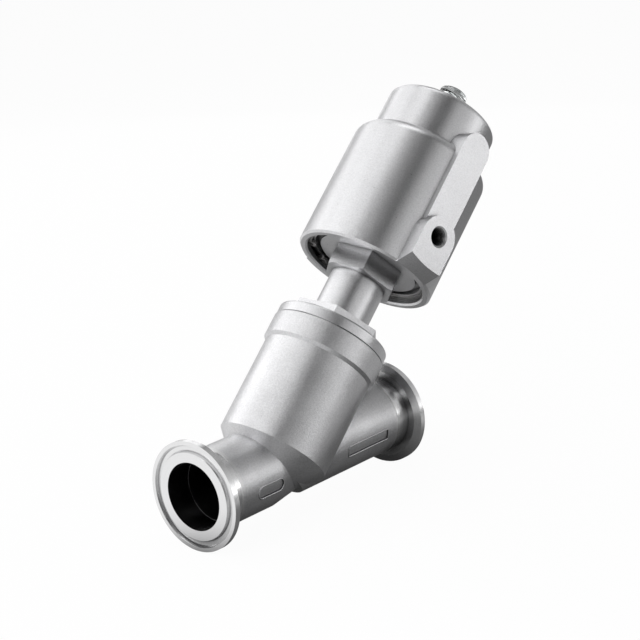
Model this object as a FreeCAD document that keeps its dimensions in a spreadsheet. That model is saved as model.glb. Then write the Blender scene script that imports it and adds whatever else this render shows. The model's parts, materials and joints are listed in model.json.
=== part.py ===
import FreeCAD, Part
import math
import os
import Sketcher

# Angle seat valve with clamp ferrules and a pneumatic piston actuator.
# The pipe runs along X, with the centre of the inlet ferrule's face at the origin. The branch
# rises from the pipe's axis at the branch angle, and carries the bonnet, the neck and the actuator.
# Levels are heights along the branch, measured from the point where the two axes cross.

Vector = FreeCAD.Vector
Rotation = FreeCAD.Rotation
Placement = FreeCAD.Placement

os.makedirs("parts", exist_ok=True)
doc = FreeCAD.newDocument("angle_seat_valve")

# Driving dimensions in millimetres and degrees
SIZES = [
    ("branch_angle", 45.0, "tilt of the branch from the vertical"),
    ("inlet_arm", 46.8, "inlet face to the crossing of the axes"),
    ("outlet_arm", 86.0, "crossing of the axes to the outlet face"),
    ("pipe_radius", 18.35, "outside of the pipe stubs"),
    ("pipe_wall", 2.75, "wall of the clamp ferrules' pipe end"),
    ("bore_step", 0.2, "bore of the ferrules over the casting's bore, in radius"),
    ("ferrule_radius", 25.25, "outside of the clamp ferrules"),
    ("ferrule_length", 12.7, "clamp ferrule from face to weld"),
    ("ferrule_rim", 2.85, "thickness of the clamp rim at its edge"),
    ("ferrule_taper", 1.3, "rise of the clamp rim's tapered back"),
    ("taper_width", 3.5, "radial width of the clamp rim's tapered back"),
    ("groove_inset", 3.5, "middle of the gasket groove in from the clamp rim's edge"),
    ("gasket_groove_half", 1.65, "half the width of that groove"),
    ("gasket_groove_depth", 1.5, "depth of that groove"),
    ("heel_start", 8.0, "where the inlet stub starts to taper, before the crossing"),
    ("heel_end", 7.0, "where the inlet stub ends, past the crossing"),
    ("heel_wall", 0.9, "wall of the inlet stub at its end"),
    ("inlet_dome_back", 2.0, "centre of the inlet passage's round end, before the crossing"),
    ("partition_foot", -2.0, "underside of the wall that holds the seat"),
    ("seat_level", 3.0, "floor of the seat chamber"),
    ("lip_rise", 1.5, "height of the seat lip over the floor"),
    ("lip_width", 2.5, "width of the seat lip"),
    ("orifice_radius", 13.0, "seat orifice"),
    ("orifice_foot", -6.0, "lower end of the orifice's bore"),
    ("bowl_margin", 2.1, "chamber floor outside the seat lip"),
    ("bowl_rise", 6.0, "height of the chamber's tapered foot"),
    ("chamber_relief", 1.0, "threaded bore over the seat chamber, in radius"),
    ("sleeve_wall", 3.8, "wall of the branch sleeve at the threaded bore"),
    ("sleeve_rim_level", 6.6, "lower rim of the sleeve"),
    ("underside_slope", 0.9, "radius lost per millimetre below that rim"),
    ("underside_foot", -4.0, "lowest level of the tapered underside"),
    ("outlet_cut_level", -2.5, "where the outlet stub ends under the seat"),
    ("panel_lean", 6.8, "how far the cast panels sit below the pipe's side"),
    ("panel_depth", 0.4, "depth of the cast panels"),
    ("inlet_panel_middle", 16.3, "middle of the inlet stub's panel, before the crossing"),
    ("inlet_panel_half", 8.2, "half the length of the inlet stub's panel"),
    ("inlet_panel_side", 3.0, "half the width of the inlet stub's panel"),
    ("inlet_panel_corner", 2.9, "corner radius of the inlet stub's panel"),
    ("outlet_panel_middle", 51.7, "middle of the outlet stub's panel, past the crossing"),
    ("outlet_panel_half", 14.6, "half the length of the outlet stub's panel"),
    ("outlet_panel_side", 2.6, "half the width of the outlet stub's panel"),
    ("outlet_panel_corner", 0.8, "corner radius of the outlet stub's panel"),
    ("collar_foot", 54.3, "lower edge of the sleeve's collar"),
    ("collar_step", 1.5, "tapered step below the collar"),
    ("collar_proud", 1.4, "collar outside the sleeve"),
    ("collar_length", 11.0, "collar from lower edge to the joint face"),
    ("joint_chamfer", 0.4, "chamfer on both edges of the joint between collar and bonnet"),
    ("socket_radius", 22.5, "threaded bore for the bonnet"),
    ("spigot_length", 15.0, "bonnet's threaded spigot"),
    ("thread_clearance", 0.1, "radial clearance of screwed and pushed fits"),
    ("gasket_land", 0.9, "threaded bore to the bonnet gasket"),
    ("gasket_width", 2.0, "radial width of the bonnet gasket"),
    ("gasket_thickness", 1.1, "bonnet gasket"),
    ("seal_slack", 0.05, "clearance of seals in their grooves"),
    ("flange_setback", 0.3, "collar outside the bonnet's flange"),
    ("flange_thickness", 5.6, "bonnet's flange"),
    ("flange_round", 1.2, "rounding of the bonnet's flange"),
    ("bonnet_hex_inset", 5.0, "bonnet's flange to its hexagon's corners"),
    ("bonnet_hex_height", 4.9, "bonnet's hexagon"),
    ("bonnet_hex_turn", 31.1, "turn of the bonnet's hexagon"),
    ("hex_chamfer", 1.2, "turned chamfer on the corners of the cover's hexagon"),
    ("packing_floor", 54.3, "floor of the packing chamber"),
    ("packing_radius", 8.5, "packing chamber"),
    ("neck_socket_depth", 5.5, "how far the neck enters the bonnet"),
    ("neck_radius", 13.45, "outside of the neck tube"),
    ("neck_wall", 3.95, "wall of the neck tube"),
    ("neck_reach", 21.9, "neck tube that shows between bonnet and cover"),
    ("gland_flange", 1.7, "flange of the packing gland"),
    ("gland_setback", 1.05, "neck tube outside the gland's flange"),
    ("gland_skirt", 2.2, "part of the gland inside the packing chamber"),
    ("stem_radius", 5.0, "stem"),
    ("running_clearance", 0.06, "radial clearance of running fits"),
    ("packing_spring_rise", 1.4, "height of one packing spring washer"),
    ("packing_spring_thickness", 0.7, "thickness of one packing spring washer"),
    ("packing_spring_count", 3, "packing spring washers"),
    ("packing_washer_thickness", 1.5, "washer under the packing"),
    ("chevron_pitch", 1.95, "height of one packing ring"),
    ("chevron_depth", 0.9, "depth of a packing ring's vee"),
    ("wiper_thickness", 2.0, "wiper ring"),
    ("wiper_radius", 7.4, "outside of the wiper ring"),
    ("cover_hex_radius", 18.7, "cover's hexagon over its corners"),
    ("cover_hex_height", 10.6, "cover's hexagon"),
    ("cover_hex_turn", 38.0, "turn of the cover's hexagon"),
    ("cover_socket_depth", 4.0, "how far the neck enters the cover"),
    ("cover_thickness", 7.0, "cover's disc"),
    ("cover_recess_width", 2.8, "radial width of the recess in the cover's lower face"),
    ("cover_rim", 2.5, "rim of the cover outside that recess"),
    ("cover_recess_depth", 2.4, "depth of that recess"),
    ("cover_ring_radius", 1.1, "section radius of the cover's O-ring"),
    ("cover_ring_level", 4.3, "middle of the O-ring above the cover's lower face"),
    ("bush_radius", 8.0, "bore for the stem bush in the cover"),
    ("bush_length", 7.2, "stem bush"),
    ("stem_seal_height", 2.6, "stem seal in the cover"),
    ("cover_lip", 2.1, "wall that closes the bush bore at the top"),
    ("skirt_above_hex", 6.3, "cover's hexagon foot to the casing's lower edge"),
    ("barrel_wall", 4.0, "wall of the barrel outside the cylinder bore"),
    ("barrel_radius", 34.0, "outside of the casing's barrel"),
    ("barrel_length", 66.4, "casing's lower edge to its shoulder"),
    ("barrel_chamfer", 1.0, "chamfer on the casing's lower edge"),
    ("mouth_chamfer", 0.8, "chamfer inside the casing's mouth"),
    ("casing_wall", 4.0, "wall over the cylinder"),
    ("crown_step", 6.3, "radial width of the casing's shoulder"),
    ("crown_wall", 4.3, "wall of the casing's crown"),
    ("crown_length", 23.5, "casing's shoulder to its roof"),
    ("roof_thickness", 4.5, "casing's roof"),
    ("shoulder_round", 5.5, "rounding of the casing's shoulder"),
    ("roof_round", 2.6, "rounding of the casing's roof"),
    ("casing_turn_angle", -12.5, "turn of the casing about the branch"),
    ("circlip_thickness", 1.5, "circlip"),
    ("circlip_seat", 1.6, "depth of the circlip groove in the casing"),
    ("circlip_width", 2.9, "radial width of the circlip"),
    ("circlip_gap", 24.0, "open angle of the circlip"),
    ("circlip_turn", 113.5, "turn of the circlip"),
    ("circlip_ear", 2.5, "radius of the circlip's ears"),
    ("circlip_ear_hole", 1.1, "radius of the holes in those ears"),
    ("boss_half", 10.3, "half the width of a port boss"),
    ("boss_proud", 5.6, "face of a port boss outside the barrel"),
    ("boss_above_port", 9.8, "port's axis to the top of its boss"),
    ("boss_slope", 1.25, "radius gained per millimetre over the boss's chamfered foot"),
    ("rib_half", 8.7, "half the width of the gallery rib"),
    ("rib_proud", 1.9, "face of the gallery rib outside the barrel"),
    ("rib_length", 76.6, "casing's lower edge to the top of the rib"),
    ("port_height", 20.0, "casing's lower edge to the ports' axis"),
    ("port_radius", 4.4, "threaded port hole"),
    ("port_chamfer", 0.7, "chamfer at the port's mouth"),
    ("port_floor_wall", 1.2, "cylinder bore to the floor of the gallery port"),
    ("gallery_radius", 1.6, "gallery in the rib"),
    ("gallery_cross_radius", 1.3, "hole from the gallery into the crown"),
    ("gallery_wall", 1.7, "cylinder bore to the gallery"),
    ("gallery_margin", 5.0, "top of the rib to the top of the gallery"),
    ("piston_standoff", 15.0, "cover to the closed piston"),
    ("piston_thickness", 10.0, "piston"),
    ("piston_recess_depth", 2.0, "spring seat in the piston"),
    ("piston_recess_inner", 10.4, "spring seat, inside radius"),
    ("spring_seat_margin", 1.0, "crown's bore to the spring seat, in radius"),
    ("piston_seal_height", 3.6, "piston's lip seal"),
    ("piston_seal_depth", 3.8, "radial depth of the lip seal"),
    ("piston_seal_foot", 1.6, "piston's foot to the lip seal"),
    ("piston_guide_height", 2.2, "piston's guide ring"),
    ("piston_guide_depth", 1.4, "radial depth of the guide ring"),
    ("piston_guide_foot", 6.6, "piston's foot to the guide ring"),
    ("piston_relief", 0.4, "piston body set back from the cylinder"),
    ("stroke", 12.0, "travel of the stem from shut to open"),
    ("seat_gap", 0.1, "gap between the shut seal and the seat lip"),
    ("seal_thickness", 3.0, "plug's sealing ring"),
    ("seal_overlap", 0.4, "plug's sealing ring outside the seat lip"),
    ("seal_bore", 6.4, "plug's sealing ring, inside"),
    ("seal_proud", 1.0, "sealing ring below the plug's rim"),
    ("plug_wall", 1.1, "plug's rim outside its sealing ring"),
    ("plug_disc", 7.0, "height of the plug's disc"),
    ("plug_hub_radius", 9.0, "plug's hub"),
    ("plug_hub_height", 13.4, "plug's hub over its disc"),
    ("plug_socket_floor", 1.4, "plug's disc top to the floor of the stem socket"),
    ("plug_stud_radius", 4.0, "plug's stud"),
    ("retainer_clearance", 2.0, "orifice to the washer that holds the sealing ring"),
    ("retainer_thickness", 1.5, "washer that holds the sealing ring"),
    ("nut_radius", 7.5, "hexagon nuts over their corners"),
    ("plug_nut_height", 5.0, "nut on the plug's stud"),
    ("stud_proud", 1.2, "stud and stem beyond their nuts"),
    ("pin_radius", 1.25, "pin through plug and stem"),
    ("pin_rise", 7.4, "plug's disc top to the pin"),
    ("stem_shoulder", 1.0, "shoulder of the stem under the piston"),
    ("piston_washer_radius", 8.6, "washer under the piston's nut"),
    ("piston_washer_thickness", 1.6, "washer under the piston's nut"),
    ("piston_nut_height", 6.5, "nut on the stem"),
    ("rod_radius", 1.8, "indicator rod"),
    ("rod_socket_depth", 6.0, "hole for the rod in the stem's top"),
    ("flag_radius", 2.9, "coloured head of the indicator rod"),
    ("flag_length", 8.0, "coloured head of the indicator rod"),
    ("flag_below_roof", 2.0, "casing's roof down to the top of the shut indicator"),
    ("lens_thread_radius", 5.9, "lens inside the roof"),
    ("lens_radius", 7.0, "lens over the roof"),
    ("lens_round", 1.6, "rounding of the lens's top edge"),
    ("lens_rise", 14.5, "height of the lens over the roof"),
    ("lens_crown", 3.0, "thickness of the lens over its cavity"),
    ("lens_foot", 5.0, "lens below the roof's inside"),
    ("lens_bore", 3.6, "cavity of the lens"),
    ("lens_slot_width", 1.2, "screwdriver slot in the lens"),
    ("lens_slot_depth", 1.3, "screwdriver slot in the lens"),
    ("lens_gasket_thickness", 0.8, "ring under the lens"),
    ("lens_gasket_radius", 7.6, "ring under the lens, outside"),
    ("outer_spring_gap", 2.1, "crown's bore to the outer spring"),
    ("outer_wire", 1.7, "outer spring, wire radius"),
    ("outer_turns", 5.5, "outer spring, turns"),
    ("inner_spring_radius", 12.6, "inner spring, middle of the wire"),
    ("inner_wire", 1.2, "inner spring, wire radius"),
    ("inner_turns", 7.5, "inner spring, turns"),
    ("octagon_angle", 22.5, "half the angle of one side of the eight-sided wire"),
    ("spring_slack", 0.1, "clearance at each end of the springs"),
]

sheet = doc.addObject("Spreadsheet::Sheet", "sizes")
for row, (alias, value, note) in enumerate(SIZES, start=1):
    sheet.set(f"A{row}", alias)
    sheet.set(f"B{row}", str(value))
    sheet.setAlias(f"B{row}", alias)
    sheet.set(f"C{row}", note)
doc.recompute()


def number(expression):
    """The present value of an expression on the sheet."""
    return float(sheet.evalExpression(expression))


# Radii that follow from the driving ones
BORE = "(sizes.pipe_radius - sizes.pipe_wall)"
BODY_BORE = f"({BORE} - sizes.bore_step)"
HEEL = f"({BODY_BORE} + sizes.heel_wall)"
GROOVE_MIDDLE = "(sizes.ferrule_radius - sizes.groove_inset)"
TAPER_ROOT = "(sizes.ferrule_radius - sizes.taper_width)"
LIP_OUTSIDE = "(sizes.orifice_radius + sizes.lip_width)"
BOWL_FOOT = f"({LIP_OUTSIDE} + sizes.bowl_margin)"
SEAL_OUT = f"({LIP_OUTSIDE} + sizes.seal_overlap)"
PLUG_OUT = f"({SEAL_OUT} + sizes.plug_wall)"
RETAINER_OUT = "(sizes.orifice_radius - sizes.retainer_clearance)"
CHAMBER = "(sizes.socket_radius - sizes.chamber_relief)"
SLEEVE = "(sizes.socket_radius + sizes.sleeve_wall)"
COLLAR = f"({SLEEVE} + sizes.collar_proud)"
GASKET_IN = "(sizes.socket_radius + sizes.gasket_land)"
GASKET_OUT = f"({GASKET_IN} + sizes.gasket_width)"
FLANGE = f"({COLLAR} - sizes.flange_setback)"
BONNET_HEX = f"({FLANGE} - sizes.bonnet_hex_inset)"
NECK_BORE = "(sizes.neck_radius - sizes.neck_wall)"
GLAND_FLANGE = "(sizes.neck_radius - sizes.gland_setback)"
STEM_BORE = "(sizes.stem_radius + sizes.running_clearance)"
STEM_NECK = "(sizes.stem_radius - sizes.stem_shoulder)"
CYLINDER = "(sizes.barrel_radius - sizes.barrel_wall)"
CROWN = "(sizes.barrel_radius - sizes.crown_step)"
CROWN_BORE = f"({CROWN} - sizes.crown_wall)"
BOSS_FACE = "(sizes.barrel_radius + sizes.boss_proud)"
RIB_FACE = "(sizes.barrel_radius + sizes.rib_proud)"
PORT_FLOOR = f"({CYLINDER} + sizes.port_floor_wall)"
GALLERY_MIDDLE = f"({CYLINDER} + sizes.gallery_wall + sizes.gallery_radius)"
COVER_OUT = f"({CYLINDER} - sizes.thread_clearance)"
RECESS_OUT = f"({COVER_OUT} - sizes.cover_rim)"
RECESS_IN = f"({RECESS_OUT} - sizes.cover_recess_width)"
SPRING_SEAT_OUT = f"({CROWN_BORE} - sizes.spring_seat_margin)"
OUTER_SPRING = f"({CROWN_BORE} - sizes.outer_spring_gap - sizes.outer_wire)"

# Levels along the branch, each worked out from the sheet
LIP_TOP = "(sizes.seat_level + sizes.lip_rise)"
JOINT = "(sizes.collar_foot + sizes.collar_length)"
SPIGOT_FOOT = f"({JOINT} - sizes.spigot_length)"
FLANGE_TOP = f"({JOINT} + sizes.flange_thickness)"
BONNET_TOP = f"({FLANGE_TOP} + sizes.bonnet_hex_height)"
NECK_SOCKET = f"({BONNET_TOP} - sizes.neck_socket_depth)"
NECK_FOOT = f"({NECK_SOCKET} + sizes.gland_flange)"
COVER_FOOT = f"({BONNET_TOP} + sizes.neck_reach)"
NECK_TOP = f"({COVER_FOOT} + sizes.cover_socket_depth)"
COVER_FACE = f"({COVER_FOOT} + sizes.cover_hex_height)"
COVER_TOP = f"({COVER_FACE} + sizes.cover_thickness)"
EDGE = f"({COVER_FOOT} + sizes.skirt_above_hex)"
PORT = f"({EDGE} + sizes.port_height)"
SHOULDER = f"({EDGE} + sizes.barrel_length)"
CEILING = f"({SHOULDER} - sizes.casing_wall)"
ROOF = f"({SHOULDER} + sizes.crown_length)"
ROOF_INSIDE = f"({ROOF} - sizes.roof_thickness)"
PISTON_FOOT = f"({COVER_TOP} + sizes.piston_standoff)"
PISTON_TOP = f"({PISTON_FOOT} + sizes.piston_thickness)"
SPRING_SEAT = f"({PISTON_TOP} - sizes.piston_recess_depth)"
SEAL_FOOT = f"({LIP_TOP} + sizes.seat_gap)"
SEAL_TOP = f"({SEAL_FOOT} + sizes.seal_thickness)"
PLUG_FOOT = f"({SEAL_FOOT} + sizes.seal_proud)"
PLUG_TOP = f"({PLUG_FOOT} + sizes.plug_disc)"
HUB_TOP = f"({PLUG_TOP} + sizes.plug_hub_height)"
STEM_FOOT = f"({PLUG_TOP} + sizes.plug_socket_floor)"
STEM_TOP = (f"({PISTON_TOP} + sizes.piston_washer_thickness + sizes.piston_nut_height"
            " + sizes.stud_proud)")
RETAINER_FOOT = f"({SEAL_FOOT} - sizes.retainer_thickness)"

# Frames: the pipe frame at the crossing, and the branch frame tilted from it
CROSSING = Vector(number("sizes.inlet_arm"), 0, 0)
TILT = Rotation(Vector(0, 1, 0), number("sizes.branch_angle"))
CASING_TURN = Rotation(Vector(0, 0, 1), number("sizes.casing_turn_angle"))
ALONG_PIPE = Placement(CROSSING, Rotation())
ALONG_BRANCH = Placement(CROSSING, TILT)
ALONG_CASING = Placement(CROSSING, TILT.multiply(CASING_TURN))

nodes = []


def new_body(label, frame, is_node=True):
    """A body in one of the frames, kept as a node of its own."""
    body = doc.addObject("PartDesign::Body", label)
    body.Label = label
    body.Placement = frame
    body.setExpression("Placement.Base.x", "sizes.inlet_arm")
    if is_node:
        nodes.append(body)
    return body


def plane(body, role):
    """One of the body's own origin planes or axes."""
    return next(item for item in body.Origin.OriginFeatures if item.Role == role)


def new_sketch(body, name, role, offset=None, turn=0.0):
    """A sketch on an origin plane, moved along the plane's normal and turned in it."""
    sketch = body.newObject("Sketcher::SketchObject", name)
    sketch.AttachmentSupport = [(plane(body, role), "")]
    sketch.MapMode = "FlatFace"
    if offset is not None or turn:
        height = number(offset) if offset is not None else 0.0
        sketch.AttachmentOffset = Placement(Vector(0, 0, height), Rotation(Vector(0, 0, 1), turn))
    if offset is not None:
        sketch.setExpression("AttachmentOffset.Base.z", offset)
    return sketch


def pin_point(sketch, shape, end, across, up):
    """Ties one point of a sketch to two expressions."""
    for kind, text, axis in (("DistanceX", across, -2), ("DistanceY", up, -1)):
        if text == "0":
            sketch.addConstraint(Sketcher.Constraint("PointOnObject", shape, end, axis))
        else:
            index = sketch.addConstraint(Sketcher.Constraint(kind, shape, end, number(text)))
            sketch.setExpression(f"Constraints[{index}]", text)


def draw_outline(sketch, outline):
    """A closed outline of straight edges, each corner tied to the sheet."""
    corners = [Vector(number(across), number(up), 0) for across, up in outline]
    count = len(corners)
    for index in range(count):
        sketch.addGeometry(Part.LineSegment(corners[index], corners[(index + 1) % count]), False)
    for index in range(count):
        following = (index + 1) % count
        sketch.addConstraint(Sketcher.Constraint("Coincident", index, 2, following, 1))
    for index, (across, up) in enumerate(outline):
        pin_point(sketch, index, 1, across, up)


def draw_circle(sketch, across, up, radius):
    """A circle whose centre and radius come from the sheet."""
    centre = Vector(number(across), number(up), 0)
    shape = sketch.addGeometry(Part.Circle(centre, Vector(0, 0, 1), number(radius)), False)
    index = sketch.addConstraint(Sketcher.Constraint("Radius", shape, number(radius)))
    sketch.setExpression(f"Constraints[{index}]", radius)
    pin_point(sketch, shape, 3, across, up)


def draw_tongue(sketch, half, foot, top):
    """An upright tongue with a round top, even about the sketch's own vertical axis."""
    width = number(half)
    spring_line = f"({top} - {half})"
    low, high = number(foot), number(spring_line)
    sketch.addGeometry(Part.LineSegment(Vector(-width, low, 0), Vector(width, low, 0)), False)
    sketch.addGeometry(Part.LineSegment(Vector(width, low, 0), Vector(width, high, 0)), False)
    arch = Part.Circle(Vector(0, high, 0), Vector(0, 0, 1), width)
    sketch.addGeometry(Part.ArcOfCircle(arch, 0, math.pi), False)
    sketch.addGeometry(Part.LineSegment(Vector(-width, high, 0), Vector(-width, low, 0)), False)
    sketch.addConstraint(Sketcher.Constraint("Coincident", 0, 2, 1, 1))
    sketch.addConstraint(Sketcher.Constraint("Coincident", 3, 2, 0, 1))
    sketch.addConstraint(Sketcher.Constraint("Tangent", 1, 2, 2, 1))
    sketch.addConstraint(Sketcher.Constraint("Tangent", 2, 2, 3, 1))
    pin_point(sketch, 0, 1, f"-{half}", foot)
    pin_point(sketch, 0, 2, half, foot)
    pin_point(sketch, 2, 3, "0", spring_line)


def turned(body, name, outline, axis="V_Axis", cut=False, role="XZ_Plane", turn=0.0):
    """A revolved feature, added or cut, from an outline of radii and levels."""
    sketch = new_sketch(body, f"{name}_outline", role, turn=turn)
    draw_outline(sketch, outline)
    feature = body.newObject("PartDesign::Groove" if cut else "PartDesign::Revolution", name)
    feature.Profile = sketch
    feature.ReferenceAxis = (sketch, [axis])
    feature.Angle = 360
    sketch.Visibility = False
    return feature


def turned_node(label, frame, outline):
    """A node that is one revolved solid."""
    body = new_body(label, frame)
    turned(body, f"{label}_turned", outline)
    return body


def prism(body, name, radius, height, foot, turn=None, sides=6, cut=False):
    """An upright polygonal prism on the body's base plane."""
    kind = "PartDesign::SubtractivePrism" if cut else "PartDesign::AdditivePrism"
    feature = body.newObject(kind, name)
    feature.Polygon = sides
    feature.AttachmentSupport = [(plane(body, "XY_Plane"), "")]
    feature.MapMode = "FlatFace"
    angle = number(turn) if turn else 0.0
    feature.AttachmentOffset = Placement(Vector(0, 0, number(foot)), Rotation(Vector(0, 0, 1), angle))
    feature.setExpression("AttachmentOffset.Base.z", foot)
    feature.setExpression("Circumradius", radius)
    feature.setExpression("Height", height)
    return feature


def drilled(body, name, role, offset, across, up, radius, depth, along_normal):
    """A round blind hole from a plane, cut along or against the plane's normal."""
    sketch = new_sketch(body, f"{name}_circle", role, offset)
    draw_circle(sketch, across, up, radius)
    doc.recompute()
    before = body.Shape.Volume
    feature = body.newObject("PartDesign::Pocket", name)
    feature.Profile = sketch
    feature.Length = number(depth)
    feature.setExpression("Length", depth)
    feature.Reversed = along_normal
    sketch.Visibility = False
    doc.recompute()
    if body.Shape.Volume >= before:
        raise RuntimeError(f"{name} cuts nothing")
    return feature


def round_edges(body, name, kind, size, wanted):
    """A fillet or chamfer on the edges of the body's last feature that the test picks."""
    doc.recompute()
    base = body.Tip
    picked = [f"Edge{index}" for index, edge in enumerate(base.Shape.Edges, start=1) if wanted(edge)]
    if not picked:
        raise RuntimeError(f"{name} finds no edge")
    feature = body.newObject(f"PartDesign::{kind}", name)
    feature.Base = (base, picked)
    property_name = "Radius" if kind == "Fillet" else "Size"
    setattr(feature, property_name, number(size))
    feature.setExpression(property_name, size)
    doc.recompute()
    return feature


CLOSE = 1e-3


def ring_edge(radius, level):
    """Picks full or part circles about the body's own upright axis."""
    wanted_radius, wanted_level = number(radius), number(level)

    def test(edge):
        curve = edge.Curve
        if not isinstance(curve, Part.Circle):
            return False
        centre = curve.Center
        return (abs(curve.Radius - wanted_radius) < CLOSE and abs(centre.z - wanted_level) < CLOSE
                and math.hypot(centre.x, centre.y) < CLOSE)
    return test


def washer(inner, outer, foot, top):
    """The outline of a plain ring."""
    return [(inner, foot), (outer, foot), (outer, top), (inner, top)]


# Ferrules, each turned in its own frame with the face at level zero and the pipe below it
def ferrule(label, frame):
    body = doc.addObject("PartDesign::Body", label)
    body.Label = label
    body.Placement = frame
    nodes.append(body)
    groove_in = f"({GROOVE_MIDDLE} - sizes.gasket_groove_half)"
    groove_out = f"({GROOVE_MIDDLE} + sizes.gasket_groove_half)"
    taper_end = "(-sizes.ferrule_rim - sizes.ferrule_taper)"
    turned(body, f"{label}_turned", [
        (BORE, "-sizes.ferrule_length"),
        ("sizes.pipe_radius", "-sizes.ferrule_length"),
        ("sizes.pipe_radius", taper_end),
        (TAPER_ROOT, taper_end),
        ("sizes.ferrule_radius", "-sizes.ferrule_rim"),
        ("sizes.ferrule_radius", "0"),
        (groove_out, "0"),
        (f"({groove_out} - sizes.gasket_groove_depth / 2)", "-sizes.gasket_groove_depth"),
        (f"({groove_in} + sizes.gasket_groove_depth / 2)", "-sizes.gasket_groove_depth"),
        (groove_in, "0"),
        (BORE, "0"),
    ])
    return body


inlet_ferrule = ferrule("inlet_ferrule", Placement(Vector(0, 0, 0), Rotation(Vector(0, 1, 0), -90)))
outlet_end = number("sizes.inlet_arm + sizes.outlet_arm")
outlet_frame = Placement(Vector(outlet_end, 0, 0), Rotation(Vector(0, 1, 0), 90))
outlet_ferrule = ferrule("outlet_ferrule", outlet_frame)
outlet_ferrule.setExpression("Placement.Base.x", "sizes.inlet_arm + sizes.outlet_arm")

# Valve casting: outlet stub, inlet stub and the tapered sleeve with its collar
casting = new_body("valve_casting", ALONG_PIPE, is_node=False)
outlet_circle = new_sketch(casting, "outlet_circle", "YZ_Plane")
draw_circle(outlet_circle, "0", "0", "sizes.pipe_radius")
outlet_stub = casting.newObject("PartDesign::Pad", "outlet_stub")
outlet_stub.Profile = outlet_circle
outlet_stub.setExpression("Length", "sizes.outlet_arm - sizes.ferrule_length")
outlet_circle.Visibility = False
doc.recompute()

FAR = "sizes.outlet_arm"
cut_sketch = new_sketch(casting, "outlet_cut_outline", "XZ_Plane", turn=-number("sizes.branch_angle"))
draw_outline(cut_sketch, [(f"-{FAR}", f"-{FAR}"), (FAR, f"-{FAR}"), (FAR, "sizes.outlet_cut_level"),
                          (f"-{FAR}", "sizes.outlet_cut_level")])
outlet_cut = casting.newObject("PartDesign::Pocket", "outlet_cut")
outlet_cut.Profile = cut_sketch
outlet_cut.Type = "ThroughAll"
outlet_cut.Midplane = True
cut_sketch.Visibility = False

INLET_START = "-(sizes.inlet_arm - sizes.ferrule_length)"
turned(casting, "inlet_stub", [
    (INLET_START, "0"),
    (INLET_START, "sizes.pipe_radius"),
    ("-sizes.heel_start", "sizes.pipe_radius"),
    ("sizes.heel_end", HEEL),
    ("sizes.heel_end", "0"),
], axis="H_Axis")

UNDERSIDE_DROP = "(sizes.underside_slope * (sizes.sleeve_rim_level - sizes.underside_foot))"
turned(casting, "sleeve", [
    ("0", "sizes.underside_foot"),
    (f"({SLEEVE} - {UNDERSIDE_DROP})", "sizes.underside_foot"),
    (SLEEVE, "sizes.sleeve_rim_level"),
    (SLEEVE, "(sizes.collar_foot - sizes.collar_step)"),
    (COLLAR, "sizes.collar_foot"),
    (COLLAR, f"({JOINT} - sizes.joint_chamfer)"),
    (f"({COLLAR} - sizes.joint_chamfer)", JOINT),
    ("0", JOINT),
], turn=-number("sizes.branch_angle"))

# Passages, cut from the casting: inlet below the seat, outlet above it, and the branch core
core = new_body("branch_core", ALONG_BRANCH, is_node=False)
BOWL_TOP = "(sizes.seat_level + sizes.bowl_rise)"
GROOVE_FLOOR = f"({JOINT} - sizes.gasket_thickness - 2 * sizes.seal_slack)"
THREAD_FOOT = f"({SPIGOT_FOOT} - sizes.collar_step)"
OVERSHOOT = f"({JOINT} + sizes.collar_step)"
turned(core, "branch_core_turned", [
    ("0", "sizes.orifice_foot"),
    ("sizes.orifice_radius", "sizes.orifice_foot"),
    ("sizes.orifice_radius", LIP_TOP),
    (LIP_OUTSIDE, LIP_TOP),
    (LIP_OUTSIDE, "sizes.seat_level"),
    (BOWL_FOOT, "sizes.seat_level"),
    (CHAMBER, BOWL_TOP),
    (CHAMBER, THREAD_FOOT),
    ("sizes.socket_radius", SPIGOT_FOOT),
    ("sizes.socket_radius", JOINT),
    ("sizes.socket_radius", OVERSHOOT),
    ("0", OVERSHOOT),
])
gasket_groove = new_body("gasket_groove", ALONG_BRANCH, is_node=False)
turned(gasket_groove, "gasket_groove_turned", washer(
    f"({GASKET_IN} - sizes.seal_slack)", f"({GASKET_OUT} + sizes.seal_slack)",
    GROOVE_FLOOR, OVERSHOOT))

EAST = Rotation(Vector(0, 1, 0), 90)


def pipe_core(name, start, length, radius=BODY_BORE):
    """A cylinder along the pipe, given by its start beyond the inlet face."""
    tool = doc.addObject("Part::Cylinder", name)
    tool.Placement = Placement(Vector(number(start), 0, 0), EAST)
    tool.setExpression("Placement.Base.x", start)
    tool.setExpression("Radius", radius)
    tool.setExpression("Height", length)
    return tool


def half_space(name, level, above):
    """A block that fills all space over or under one level of the branch."""
    block = doc.addObject("Part::Box", name)
    side = number("sizes.outlet_arm")
    foot = number(level) if above else number(level) - 2 * side
    corner = CROSSING + TILT.multVec(Vector(-side, -side, foot))
    block.Placement = Placement(corner, TILT)
    for edge in ("Length", "Width", "Height"):
        block.setExpression(edge, "2 * sizes.outlet_arm")
    return block


def cut(name, base, tool):
    """One shape less another."""
    result = doc.addObject("Part::Cut", name)
    result.Base = base
    result.Tool = tool
    return result


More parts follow.
